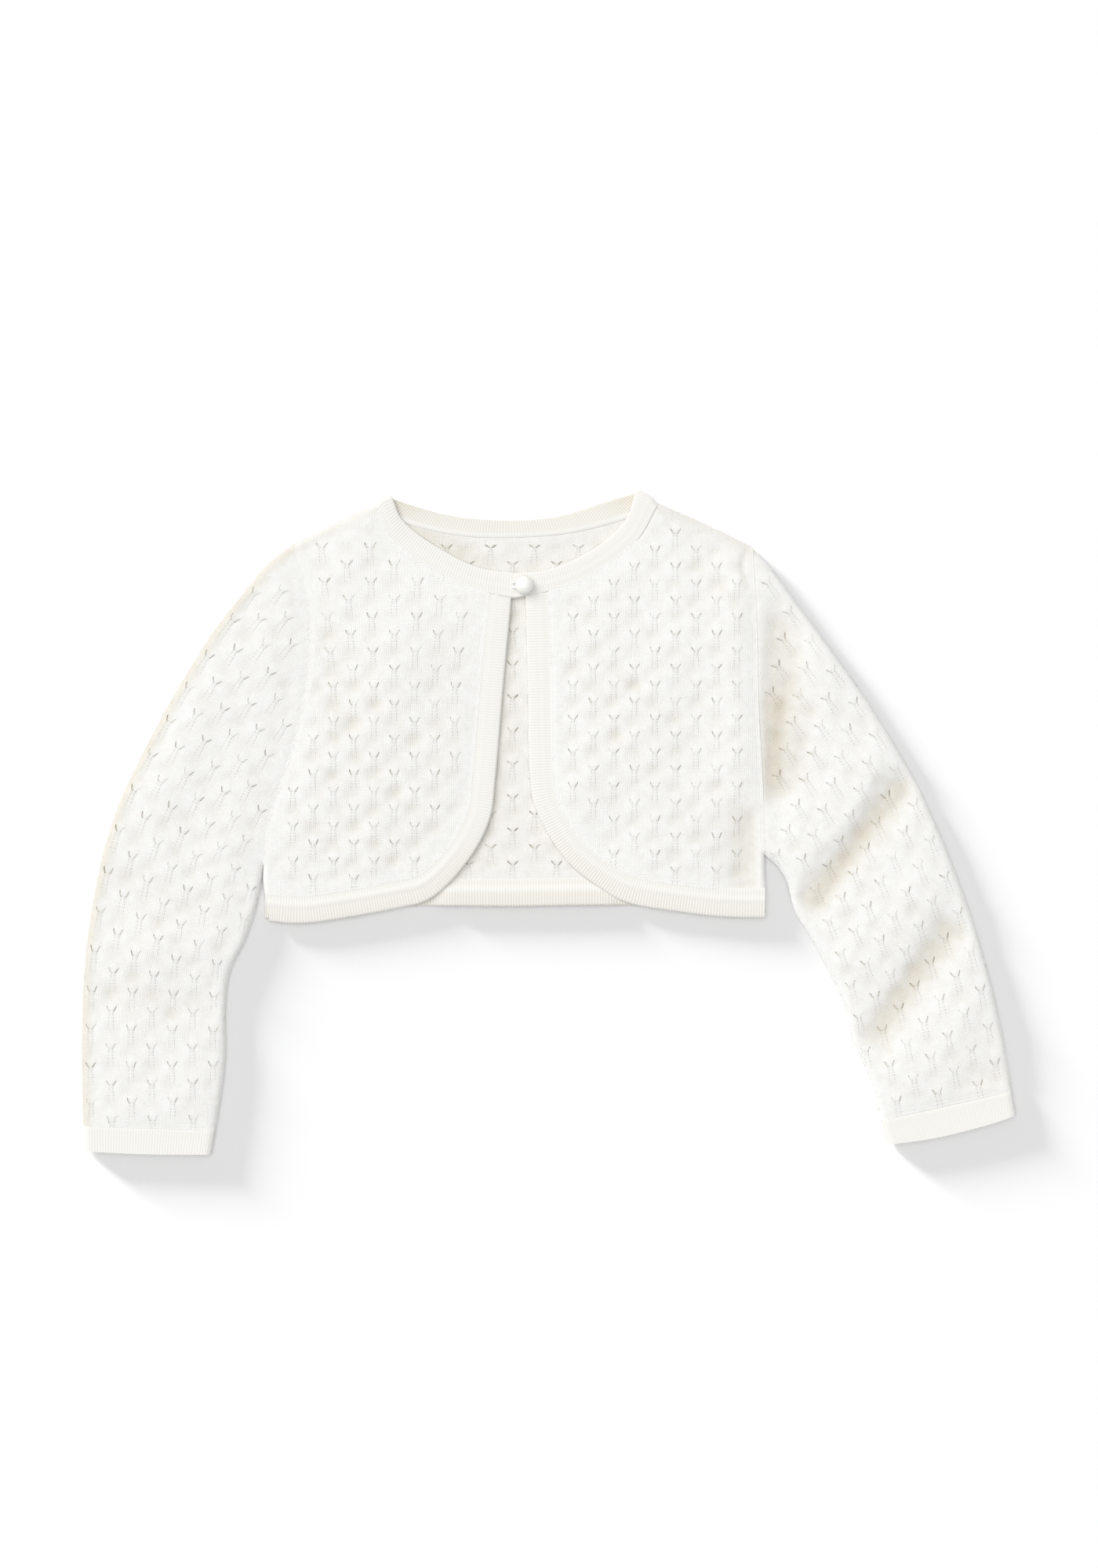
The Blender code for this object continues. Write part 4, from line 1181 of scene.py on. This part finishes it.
def pointelle_material():
    """Ivory cotton jersey: matt, softly fuzzy yarn in columns of small V stitches, with the dotted
    lines of transferred stitches that run down from each eyelet."""
    settings = bpy.context.scene.cardigan_knit
    name = "ivory cotton pointelle jersey"
    material, tree, shader = new_material(name, settings.colour, cotton(0.92))
    soft = {"interpolation_type": "SMOOTHSTEP"}
    place = add(tree, "UVMap", uv_map="Knit")
    parts = add(tree, "SeparateXYZ", {0: place}).node.outputs
    column, row = parts[0], parts[1]

    # One stitch is a wale wide: its two legs lean out from the middle of the V
    out = column
    for step, value in (("MULTIPLY", WALES), ("FRACT", 0), ("SUBTRACT", 0.5), ("ABSOLUTE", 0)):
        out = add(tree, "Math", {0: out, 1: value}, operation=step)
    leg = add(tree, "Math", {0: out, 1: 2 * math.pi}, operation="MULTIPLY")
    leg = add(tree, "Math", {0: leg}, operation="SINE")
    rise = add(tree, "Math", {0: row, 1: 2 * math.pi * COURSES}, operation="MULTIPLY")
    slant = add(tree, "Math", {0: out, 1: -7.0, 2: rise}, operation="MULTIPLY_ADD")
    course = add(tree, "Math", {0: slant}, operation="COSINE")
    course = add(tree, "Math", {0: course, 1: 0.3, 2: 0.7}, operation="MULTIPLY_ADD")
    stitch = add(tree, "Math", {0: leg, 1: course}, operation="MULTIPLY")

    # Two dotted lines hang from each motif: one dot to each transferred stitch
    lace = add(tree, "Attribute", attribute_name="Lace").node.outputs["Fac"]
    nearest = add(tree, "Math", {0: column}, operation="ROUND")
    aside = column
    for middle in (nearest, LINE_ASIDE):
        aside = add(tree, "Math", {0: aside, 1: middle}, operation="SUBTRACT")
        aside = add(tree, "Math", {0: aside}, operation="ABSOLUTE")
    line = add(tree, "MapRange", {0: aside, 1: 0.0, 2: LINE_WIDTH, 3: 1.0, 4: 0.0}, **soft)
    up = add(tree, "Math", {0: nearest, 1: -0.5, 2: row}, operation="MULTIPLY_ADD")
    up = add(tree, "Math", {0: up, 1: LINE_SHIFT}, operation="ADD")
    up = add(tree, "Math", {0: up}, operation="FRACT")
    above = add(tree, "MapRange", {0: up, 1: LINE_FOOT[0], 2: LINE_FOOT[1], 3: 0.0, 4: 1.0}, **soft)
    below = add(tree, "MapRange", {0: up, 1: LINE_TOP[0], 2: LINE_TOP[1], 3: 1.0, 4: 0.0}, **soft)
    dots = add(tree, "Math", {0: up, 1: 2 * math.pi * LINE_DOTS}, operation="MULTIPLY")
    dots = add(tree, "Math", {0: dots}, operation="COSINE")
    dots = add(tree, "Math", {0: dots, 1: 0.5, 2: 0.5}, operation="MULTIPLY_ADD")
    for share in (line, above, below, lace):
        dots = add(tree, "Math", {0: dots, 1: share}, operation="MULTIPLY")

    # The yarn's loose fibres roughen the stitches, and the dots lie below them
    body = add(tree, "TexCoord").node.outputs["Object"]
    fuzz = add(tree, "TexNoise", {0: body, "Scale": 900.0, "Detail": 2.0}).node.outputs[0]
    height = add(tree, "Math", {0: dots, 1: -1.5, 2: stitch}, operation="MULTIPLY_ADD")
    height = add(tree, "Math", {0: fuzz, 1: 0.8, 2: height}, operation="MULTIPLY_ADD")
    links = {"Height": height, "Strength": 1.0, "Distance": settings.stitch_depth}
    tree.links.new(add(tree, "Bump", links), shader.inputs["Normal"])

    # Shade is painted into the dots, the furrows between the stitches and the hollows, and the
    # unevenness of the yarn adds its own tone; both mix in the colour of the painted shade
    shade = add(tree, "Math", {0: dots, 1: 0.2}, operation="MULTIPLY")
    low = add(tree, "Math", {0: stitch, 1: -0.1, 2: 0.05}, operation="MULTIPLY_ADD")
    shade = add(tree, "Math", {0: shade, 1: low}, operation="ADD")
    painted_shade = add(tree, "Attribute", attribute_name="Hollow").node.outputs["Fac"]
    links = {0: painted_shade, 1: 0.24, 2: shade}
    shade = add(tree, "Math", links, operation="MULTIPLY_ADD", use_clamp=True)
    yarn = add(tree, "TexNoise", {0: body, "Scale": 260.0, "Detail": 3.0}).node.outputs[0]
    yarn = add(tree, "MapRange", {0: yarn, 1: 0.35, 2: 0.75, 3: 0.0, 4: 0.16})
    shade = add(tree, "Math", {0: shade, 1: yarn}, operation="ADD")
    links = {0: shade, 6: (*settings.colour, 1), 7: (*settings.painted_shade_and_yarn_tone, 1)}
    mixed = add(tree, "Mix", links, data_type="RGBA").node.outputs[2]
    tree.links.new(mixed, shader.inputs["Base Color"])
    return material


def rib_material():
    """The same ivory cotton in a firm rib: matt, with its courses across the ribs."""
    knit_settings = bpy.context.scene.cardigan_knit
    colour = bpy.context.scene.cardigan_trim.colour
    material, tree, shader = new_material("ivory cotton rib", colour, cotton(0.9))
    place = add(tree, "UVMap", uv_map="Rib")
    parts = add(tree, "SeparateXYZ", {0: place}).node.outputs
    ribs = add(tree, "Math", {0: parts[0], 1: 2 * math.pi}, operation="MULTIPLY")
    ribs = add(tree, "Math", {0: ribs}, operation="COSINE")
    courses = add(tree, "Math", {0: parts[1], 1: 2 * math.pi / 1.2}, operation="MULTIPLY")
    courses = add(tree, "Math", {0: courses}, operation="COSINE")
    height = add(tree, "Math", {0: courses, 1: 0.4, 2: ribs}, operation="MULTIPLY_ADD")
    links = {"Height": height, "Strength": 1.0, "Distance": 0.00003}
    tree.links.new(add(tree, "Bump", links), shader.inputs["Normal"])
    # Painted shade in the furrows between the ribs, darker where the strip is drawn in
    drawn_in_and_shade = add(tree, "Attribute", attribute_name="Drawn in").node.outputs["Fac"]
    furrow = add(tree, "Math", {0: ribs, 1: -0.4, 2: 0.6}, operation="MULTIPLY_ADD")
    depth = add(tree, "Math", {0: drawn_in_and_shade, 1: 0.6, 2: 0.1}, operation="MULTIPLY_ADD")
    shade = add(tree, "Math", {0: furrow, 1: depth}, operation="MULTIPLY")
    links = {0: shade, 6: (*colour, 1), 7: (*knit_settings.painted_shade_and_yarn_tone, 1)}
    mixed = add(tree, "Mix", links, data_type="RGBA").node.outputs[2]
    tree.links.new(mixed, shader.inputs["Base Color"])
    return material


def pearl_material():
    """Pearlised polyester, cast and polished: a milky body under a clear glossy skin."""
    settings = bpy.context.scene.cardigan_button
    values = {
        "Roughness": 0.22,
        "IOR": 1.55,
        "Subsurface Weight": 0.15,
        "Subsurface Radius": (0.0012, 0.001, 0.0008),
        "Subsurface Scale": 1.0,
        "Coat Weight": 0.6,
        "Coat Roughness": 0.06,
        "Thin Film Thickness": 180,
    }
    material, tree, shader = new_material("pearlised polyester button", settings.colour, values)
    place = add(tree, "TexCoord").node.outputs["Object"]
    cloud = add(tree, "TexNoise", {0: place, "Scale": 420.0, "Detail": 2.0}).node.outputs[0]
    links = {0: cloud, 6: (*settings.colour, 1), 7: (*settings.shade_colour, 1)}
    mixed = add(tree, "Mix", links, data_type="RGBA").node.outputs[2]
    tree.links.new(mixed, shader.inputs["Base Color"])
    return material


def thread_material():
    """Twisted cotton sewing thread: two plies that wind round each other."""
    settings = bpy.context.scene.cardigan_knit
    values = {"Roughness": 0.8, "Sheen Weight": settings.sheen}
    material, tree, shader = new_material("ivory cotton thread", settings.colour, values)
    place = add(tree, "TexCoord").node.outputs["Object"]
    links = {0: place, "Scale": 1100.0, "Distortion": 1.0}
    twist = add(tree, "TexWave", links, bands_direction="DIAGONAL").node.outputs[1]
    links = {"Height": twist, "Strength": 1.0, "Distance": 0.00006}
    tree.links.new(add(tree, "Bump", links), shader.inputs["Normal"])
    return material


def material_named(name, make):
    """The named material, made the first time that a piece asks for it."""
    return bpy.data.materials.get(name) or make()


def knit_cloth():
    return material_named("ivory cotton pointelle jersey", pointelle_material)


def rib_cloth():
    return material_named("ivory cotton rib", rib_material)


class KnitSettings(bpy.types.PropertyGroup):
    """Sizes and colours of the knitted cloth."""

    wall: FloatProperty(
        name="Cloth thickness", description="Thickness of the jersey",
        default=0.001, unit="LENGTH",
    )
    eyelet_length: FloatProperty(
        name="Eyelet length", description="Length of one opening of a motif",
        default=0.0034, unit="LENGTH",
    )
    eyelet_width: FloatProperty(
        name="Eyelet width", description="Width of one opening of a motif",
        default=0.00095, unit="LENGTH",
    )
    eyelet_depth: FloatProperty(
        name="Eyelet depth", description="Depth of one opening down to the layer behind it",
        default=0.0007, unit="LENGTH",
    )
    dimple: FloatProperty(
        name="Pucker depth", description="Depth of the hollows between the motifs on smooth cloth",
        default=0.0005, unit="LENGTH",
    )
    stitch_depth: FloatProperty(
        name="Stitch depth", description="Depth of the furrows between the stitches",
        default=0.00014, unit="LENGTH",
    )
    sheen: FloatProperty(
        name="Fuzz", description="Strength of the soft sheen that the yarn's loose fibres give",
        default=0.12, subtype="FACTOR", min=0, max=1,
    )
    colour: FloatVectorProperty(
        name="Yarn", description="Colour of the ivory cotton yarn",
        default=linear("F2F2F0"), subtype="COLOR",
    )
    # Colour of the painted shade in the dots, furrows and hollows of the knitting and the ribs,
    # which the yarn's uneven tone also leans to
    painted_shade_and_yarn_tone: FloatVectorProperty(
        name="Recesses", description="Colour of the yarn deep between the stitches",
        default=linear("D3CBB9"), subtype="COLOR",
    )


class TrimSettings(bpy.types.PropertyGroup):
    """Sizes and colour of the ribbed trims."""

    rib_pitch: FloatProperty(
        name="Rib pitch", description="Distance from one rib to the next",
        default=0.0016, unit="LENGTH",
    )
    rib_depth: FloatProperty(
        name="Rib depth", description="Height of a rib above the middle of its furrow",
        default=0.00004, unit="LENGTH",
    )
    wall: FloatProperty(
        name="Cuff thickness", description="Thickness of the rib of a cuff",
        default=0.0015, unit="LENGTH",
    )
    colour: FloatVectorProperty(
        name="Rib yarn", description="Colour of the firmer, less open rib",
        default=linear("EDECE8"), subtype="COLOR",
    )


class ButtonSettings(bpy.types.PropertyGroup):
    """Sizes and colours of the button and its loop."""

    centre: FloatVectorProperty(
        name="Centre", description="Where the button's axis stands on the surface",
        default=(0.0052, 0.0689), size=2, unit="LENGTH",
    )
    diameter: FloatProperty(
        name="Diameter", description="Width of the pearl button",
        default=0.0104, unit="LENGTH",
    )
    shank: FloatProperty(
        name="Shank", description="Length of the button's shank",
        default=0.0019, unit="LENGTH",
    )
    thread: FloatProperty(
        name="Loop thread", description="Thickness of the thread loop",
        default=0.0012, unit="LENGTH",
    )
    colour: FloatVectorProperty(
        name="Pearl", description="Colour of the button's body",
        default=linear("FAF9F5"), subtype="COLOR",
    )
    shade_colour: FloatVectorProperty(
        name="Pearl clouds", description="Colour of the darker clouds in the button",
        default=linear("EFECE4"), subtype="COLOR",
    )


class StageSettings(bpy.types.PropertyGroup):
    """Floor, light and camera."""

    floor_colour: FloatVectorProperty(
        name="Floor", description="Colour of the plain white floor",
        default=linear("F8F8F8"), subtype="COLOR",
    )
    floor_size: FloatProperty(
        name="Floor size", description="Side of the square floor",
        default=8.0, unit="LENGTH",
    )
    sky: FloatProperty(
        name="Soft light", description="Strength of the even light from all round",
        default=0.5, min=0,
    )
    turn: FloatProperty(
        name="Light direction", description="Angle round the cardigan that the lamps stand at",
        default=math.radians(140), subtype="ANGLE",
    )
    top: FloatProperty(
        name="Top light", description="Strength of the broad lamp overhead",
        default=0.95, min=0,
    )
    key: FloatProperty(
        name="Key light", description="Strength of the lamp that models the cloth",
        default=1.6, min=0,
    )
    low: FloatProperty(
        name="Low light", description="Strength of the low lamp that lights the floor alone",
        default=9.5, min=0,
    )
    lens: FloatProperty(
        name="Lens", description="Focal length of the camera in millimetres",
        default=100, min=1,
    )
    frame_height: FloatProperty(
        name="Frame height", description="Height of the picture where it meets the surface",
        default=0.9, unit="LENGTH",
    )
    frame_centre: FloatVectorProperty(
        name="Frame centre", description="Point of the surface in the middle of the picture",
        default=(0.01935, -0.045), size=2, unit="LENGTH",
    )


class CARDIGAN_OT_back(bpy.types.Operator):
    """Knits the back panel"""

    bl_idname = "cardigan.back"
    bl_label = "Back"

    def execute(self, context):
        seat(knit_back(knit_cloth()), "back_panel")
        return {"FINISHED"}


class CARDIGAN_OT_fronts(bpy.types.Operator):
    """Knits the two fronts"""

    bl_idname = "cardigan.fronts"
    bl_label = "Fronts"

    def execute(self, context):
        for side, flat, area in (("right", (0.13, 0.229), 0.0203), ("left", (0.125, 0.223), 0.0222)):
            item = knit_front(side, knit_cloth())
            seat(item, f"front_{side}")
        return {"FINISHED"}


class CARDIGAN_OT_sleeves(bpy.types.Operator):
    """Knits the two sleeves as flattened tubes"""

    bl_idname = "cardigan.sleeves"
    bl_label = "Sleeves"

    def execute(self, context):
        for side, flat, area in (("right", (0.3, 0.337), 0.0505), ("left", (0.3, 0.33), 0.047)):
            seat(knit_sleeve(side, knit_cloth()), f"sleeve_{side}")
        return {"FINISHED"}


class CARDIGAN_OT_neckband(bpy.types.Operator):
    """Links the ribbed band round the neck"""

    bl_idname = "cardigan.neckband"
    bl_label = "Neckband"

    def execute(self, context):
        item = trim_neck(rib_cloth())
        seat(item, "neckband")
        return {"FINISHED"}


class CARDIGAN_OT_front_bands(bpy.types.Operator):
    """Links the ribbed bands down the opening, round the corners and along the hem"""

    bl_idname = "cardigan.front_bands"
    bl_label = "Front bands"

    def execute(self, context):
        for side in SIDES:
            item = trim_front(side, rib_cloth())
            seat(item, f"front_band_{side}")
        return {"FINISHED"}


class CARDIGAN_OT_back_hem(bpy.types.Operator):
    """Links the ribbed band along the hem of the back"""

    bl_idname = "cardigan.back_hem"
    bl_label = "Back hem"

    def execute(self, context):
        seat(trim_back_hem(rib_cloth()), "back_hem_band")
        return {"FINISHED"}


class CARDIGAN_OT_cuffs(bpy.types.Operator):
    """Links the two ribbed cuffs"""

    bl_idname = "cardigan.cuffs"
    bl_label = "Cuffs"

    def execute(self, context):
        for side in SIDES:
            seat(trim_cuff(side, rib_cloth()), f"cuff_{side}")
        return {"FINISHED"}


class CARDIGAN_OT_button(bpy.types.Operator):
    """Casts the pearl button with its shank"""

    bl_idname = "cardigan.button"
    bl_label = "Button"

    def execute(self, context):
        settings = context.scene.cardigan_button
        x, y = settings.centre
        radius = settings.diameter / 2
        low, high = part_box("button")
        base = low.z + settings.shank
        middle = (x, y, base + BUTTON_RIM)
        bpy.ops.object.select_all(action="DESELECT")
        bpy.ops.mesh.primitive_uv_sphere_add(
            segments=48, ring_count=24, radius=radius, location=middle
        )
        item = context.object
        item.name = "pearl_button"
        bpy.ops.object.mode_set(mode="EDIT")
        bpy.ops.mesh.select_all(action="SELECT")
        bpy.ops.mesh.bisect(plane_co=middle, plane_no=(0, 0, 1), clear_inner=True)
        bpy.ops.mesh.select_all(action="SELECT")
        flatten = (high.z - base - BUTTON_RIM) / radius
        bpy.ops.transform.resize(value=(1, 1, flatten), center_override=middle)
        bpy.ops.mesh.select_all(action="DESELECT")
        bpy.ops.mesh.select_mode(type="EDGE")
        bpy.ops.mesh.select_non_manifold()
        bpy.ops.mesh.extrude_region_move(TRANSFORM_OT_translate={"value": (0, 0, -BUTTON_RIM)})
        bpy.ops.transform.resize(value=(BASE_SHARE, BASE_SHARE, 1), center_override=(x, y, base))
        bpy.ops.mesh.edge_face_add()
        bpy.ops.mesh.select_mode(type="FACE")
        bpy.ops.mesh.inset(thickness=radius * BASE_SHARE - SHANK_RADIUS, depth=0)
        bpy.ops.mesh.extrude_region_move(TRANSFORM_OT_translate={"value": (0, 0, low.z - base)})
        bpy.ops.object.mode_set(mode="OBJECT")
        bevel = item.modifiers.new("Rim", "BEVEL")
        bevel.width = RIM_BEVEL
        bevel.segments = 3
        bevel.limit_method = "ANGLE"
        bevel.angle_limit = math.radians(35)
        bpy.ops.object.modifier_apply(modifier=bevel.name)
        bpy.ops.object.transform_apply(location=True, rotation=True, scale=True)
        bpy.ops.object.shade_smooth_by_angle(angle=math.radians(40))
        item.data.materials.append(material_named("pearlised polyester button", pearl_material))
        seat(item, "button")
        return {"FINISHED"}


class CARDIGAN_OT_loop(bpy.types.Operator):
    """Sews the thread loop round the button's shank"""

    bl_idname = "cardigan.loop"
    bl_label = "Button loop"

    def execute(self, context):
        settings = context.scene.cardigan_button
        x, y = (part / METRES for part in settings.centre)
        low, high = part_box("button_loop")
        height = (low.z + high.z) / 2
        root, spread, radius = LOOP_ROOT, LOOP_SPREAD, LOOP_RADIUS
        points = [(root, y + spread), (root + 1.0, y + spread + 0.2)]
        for step in range(9):
            angle = math.radians(110 - 27.5 * step)
            points.append((x + radius * math.cos(angle), y + radius * math.sin(angle)))
        points += [(root + 1.0, y - spread - 0.2), (root, y - spread)]
        data = bpy.data.curves.new("thread_loop", "CURVE")
        data.dimensions = "3D"
        data.bevel_depth = settings.thread / 2
        data.bevel_resolution = 4
        data.use_fill_caps = True
        spline = data.splines.new("NURBS")
        spline.points.add(len(points) - 1)
        for place, (px, py) in zip(spline.points, points):
            place.co = (px * METRES, py * METRES, height, 1)
        for end in (spline.points[0], spline.points[-1]):
            end.co.z -= LOOP_DIP * METRES
        spline.use_endpoint_u = True
        spline.order_u = 3
        spline.resolution_u = 6
        item = bpy.data.objects.new("thread_loop", data)
        context.scene.collection.objects.link(item)
        select_only(item)
        bpy.ops.object.convert(target="MESH")
        item = context.object
        item.data.shade_smooth()
        item.data.materials.append(material_named("ivory cotton thread", thread_material))
        seat(item, "button_loop")
        return {"FINISHED"}


class CARDIGAN_OT_stage(bpy.types.Operator):
    """Sets the white floor, the soft light and the camera"""

    bl_idname = "cardigan.stage"
    bl_label = "Stage"

    def execute(self, context):
        settings = context.scene.cardigan_stage
        bpy.ops.object.select_all(action="DESELECT")
        bpy.ops.mesh.primitive_plane_add(size=settings.floor_size, location=(0, 0, FLOOR_LEVEL))
        floor = context.object
        floor.name = "floor"
        bpy.ops.object.transform_apply(location=True, rotation=True, scale=True)
        # White paper: quite matt, so that no lamp shows in it
        values = {"Roughness": 1.0, "Specular IOR Level": 0.0}
        material = new_material("white paper floor", settings.floor_colour, values)[0]
        floor.data.materials.append(material)

        world = bpy.data.worlds.new("soft studio")
        world.use_nodes = True
        world.node_tree.nodes["Background"].inputs[0].default_value = (1, 1, 1, 1)
        world.node_tree.nodes["Background"].inputs[1].default_value = settings.sky
        context.scene.world = world

        # The key lamp models the cloth, and the low one casts its long soft shadow on the floor
        for name, (elevation, softness, state) in LAMPS.items():
            light = bpy.data.lights.new(name, "SUN")
            light.energy = getattr(settings, name)
            light.angle = math.radians(softness)
            lamp = bpy.data.objects.new(name, light)
            lamp.rotation_euler = (math.radians(90 - elevation), 0, settings.turn + math.pi / 2)
            context.scene.collection.objects.link(lamp)
            if state:
                reach = bpy.data.collections.new(f"lit by {name}")
                reach.objects.link(floor)
                reach.collection_objects[0].light_linking.link_state = state
                lamp.light_linking.receiver_collection = reach

        camera = bpy.data.cameras.new("camera")
        camera.lens = settings.lens
        camera.sensor_width = SENSOR_WIDTH
        camera.clip_end = 20
        item = bpy.data.objects.new("camera", camera)
        distance = settings.frame_height * settings.lens / SENSOR_WIDTH
        item.location = (*settings.frame_centre, distance)
        context.scene.collection.objects.link(item)
        context.scene.camera = item
        context.scene.view_settings.view_transform = "Standard"
        return {"FINISHED"}


class CARDIGAN_PT_make(bpy.types.Panel):
    """Lists the steps that make the cardigan"""

    bl_idname = "CARDIGAN_PT_make"
    bl_label = "Pointelle cardigan"
    bl_space_type = "VIEW_3D"
    bl_region_type = "UI"
    bl_category = "Cardigan"

    def draw(self, context):
        for group in SETTINGS:
            box = self.layout.box()
            box.label(text=group.title())
            settings = getattr(context.scene, f"cardigan_{group}")
            for name in settings.__annotations__:
                box.prop(settings, name)
        for operator in OPERATORS:
            self.layout.operator(operator.bl_idname)


SETTINGS = {
    "knit": KnitSettings,
    "trim": TrimSettings,
    "button": ButtonSettings,
    "stage": StageSettings,
}
OPERATORS = (
    CARDIGAN_OT_stage,
    CARDIGAN_OT_back,
    CARDIGAN_OT_back_hem,
    CARDIGAN_OT_fronts,
    CARDIGAN_OT_front_bands,
    CARDIGAN_OT_sleeves,
    CARDIGAN_OT_cuffs,
    CARDIGAN_OT_neckband,
    CARDIGAN_OT_button,
    CARDIGAN_OT_loop,
)


def register():
    for name, group in SETTINGS.items():
        bpy.utils.register_class(group)
        setattr(bpy.types.Scene, f"cardigan_{name}", PointerProperty(type=group))
    for item in (*OPERATORS, CARDIGAN_PT_make):
        bpy.utils.register_class(item)


def unregister():
    for item in (CARDIGAN_PT_make, *reversed(OPERATORS)):
        bpy.utils.unregister_class(item)
    for name, group in SETTINGS.items():
        delattr(bpy.types.Scene, f"cardigan_{name}")
        bpy.utils.unregister_class(group)


def main():
    """Makes every piece in order."""
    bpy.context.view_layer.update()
    register()
    for operator in OPERATORS:
        group, step = operator.bl_idname.split(".")
        getattr(getattr(bpy.ops, group), step)()


if __name__ == "__main__":
    main()
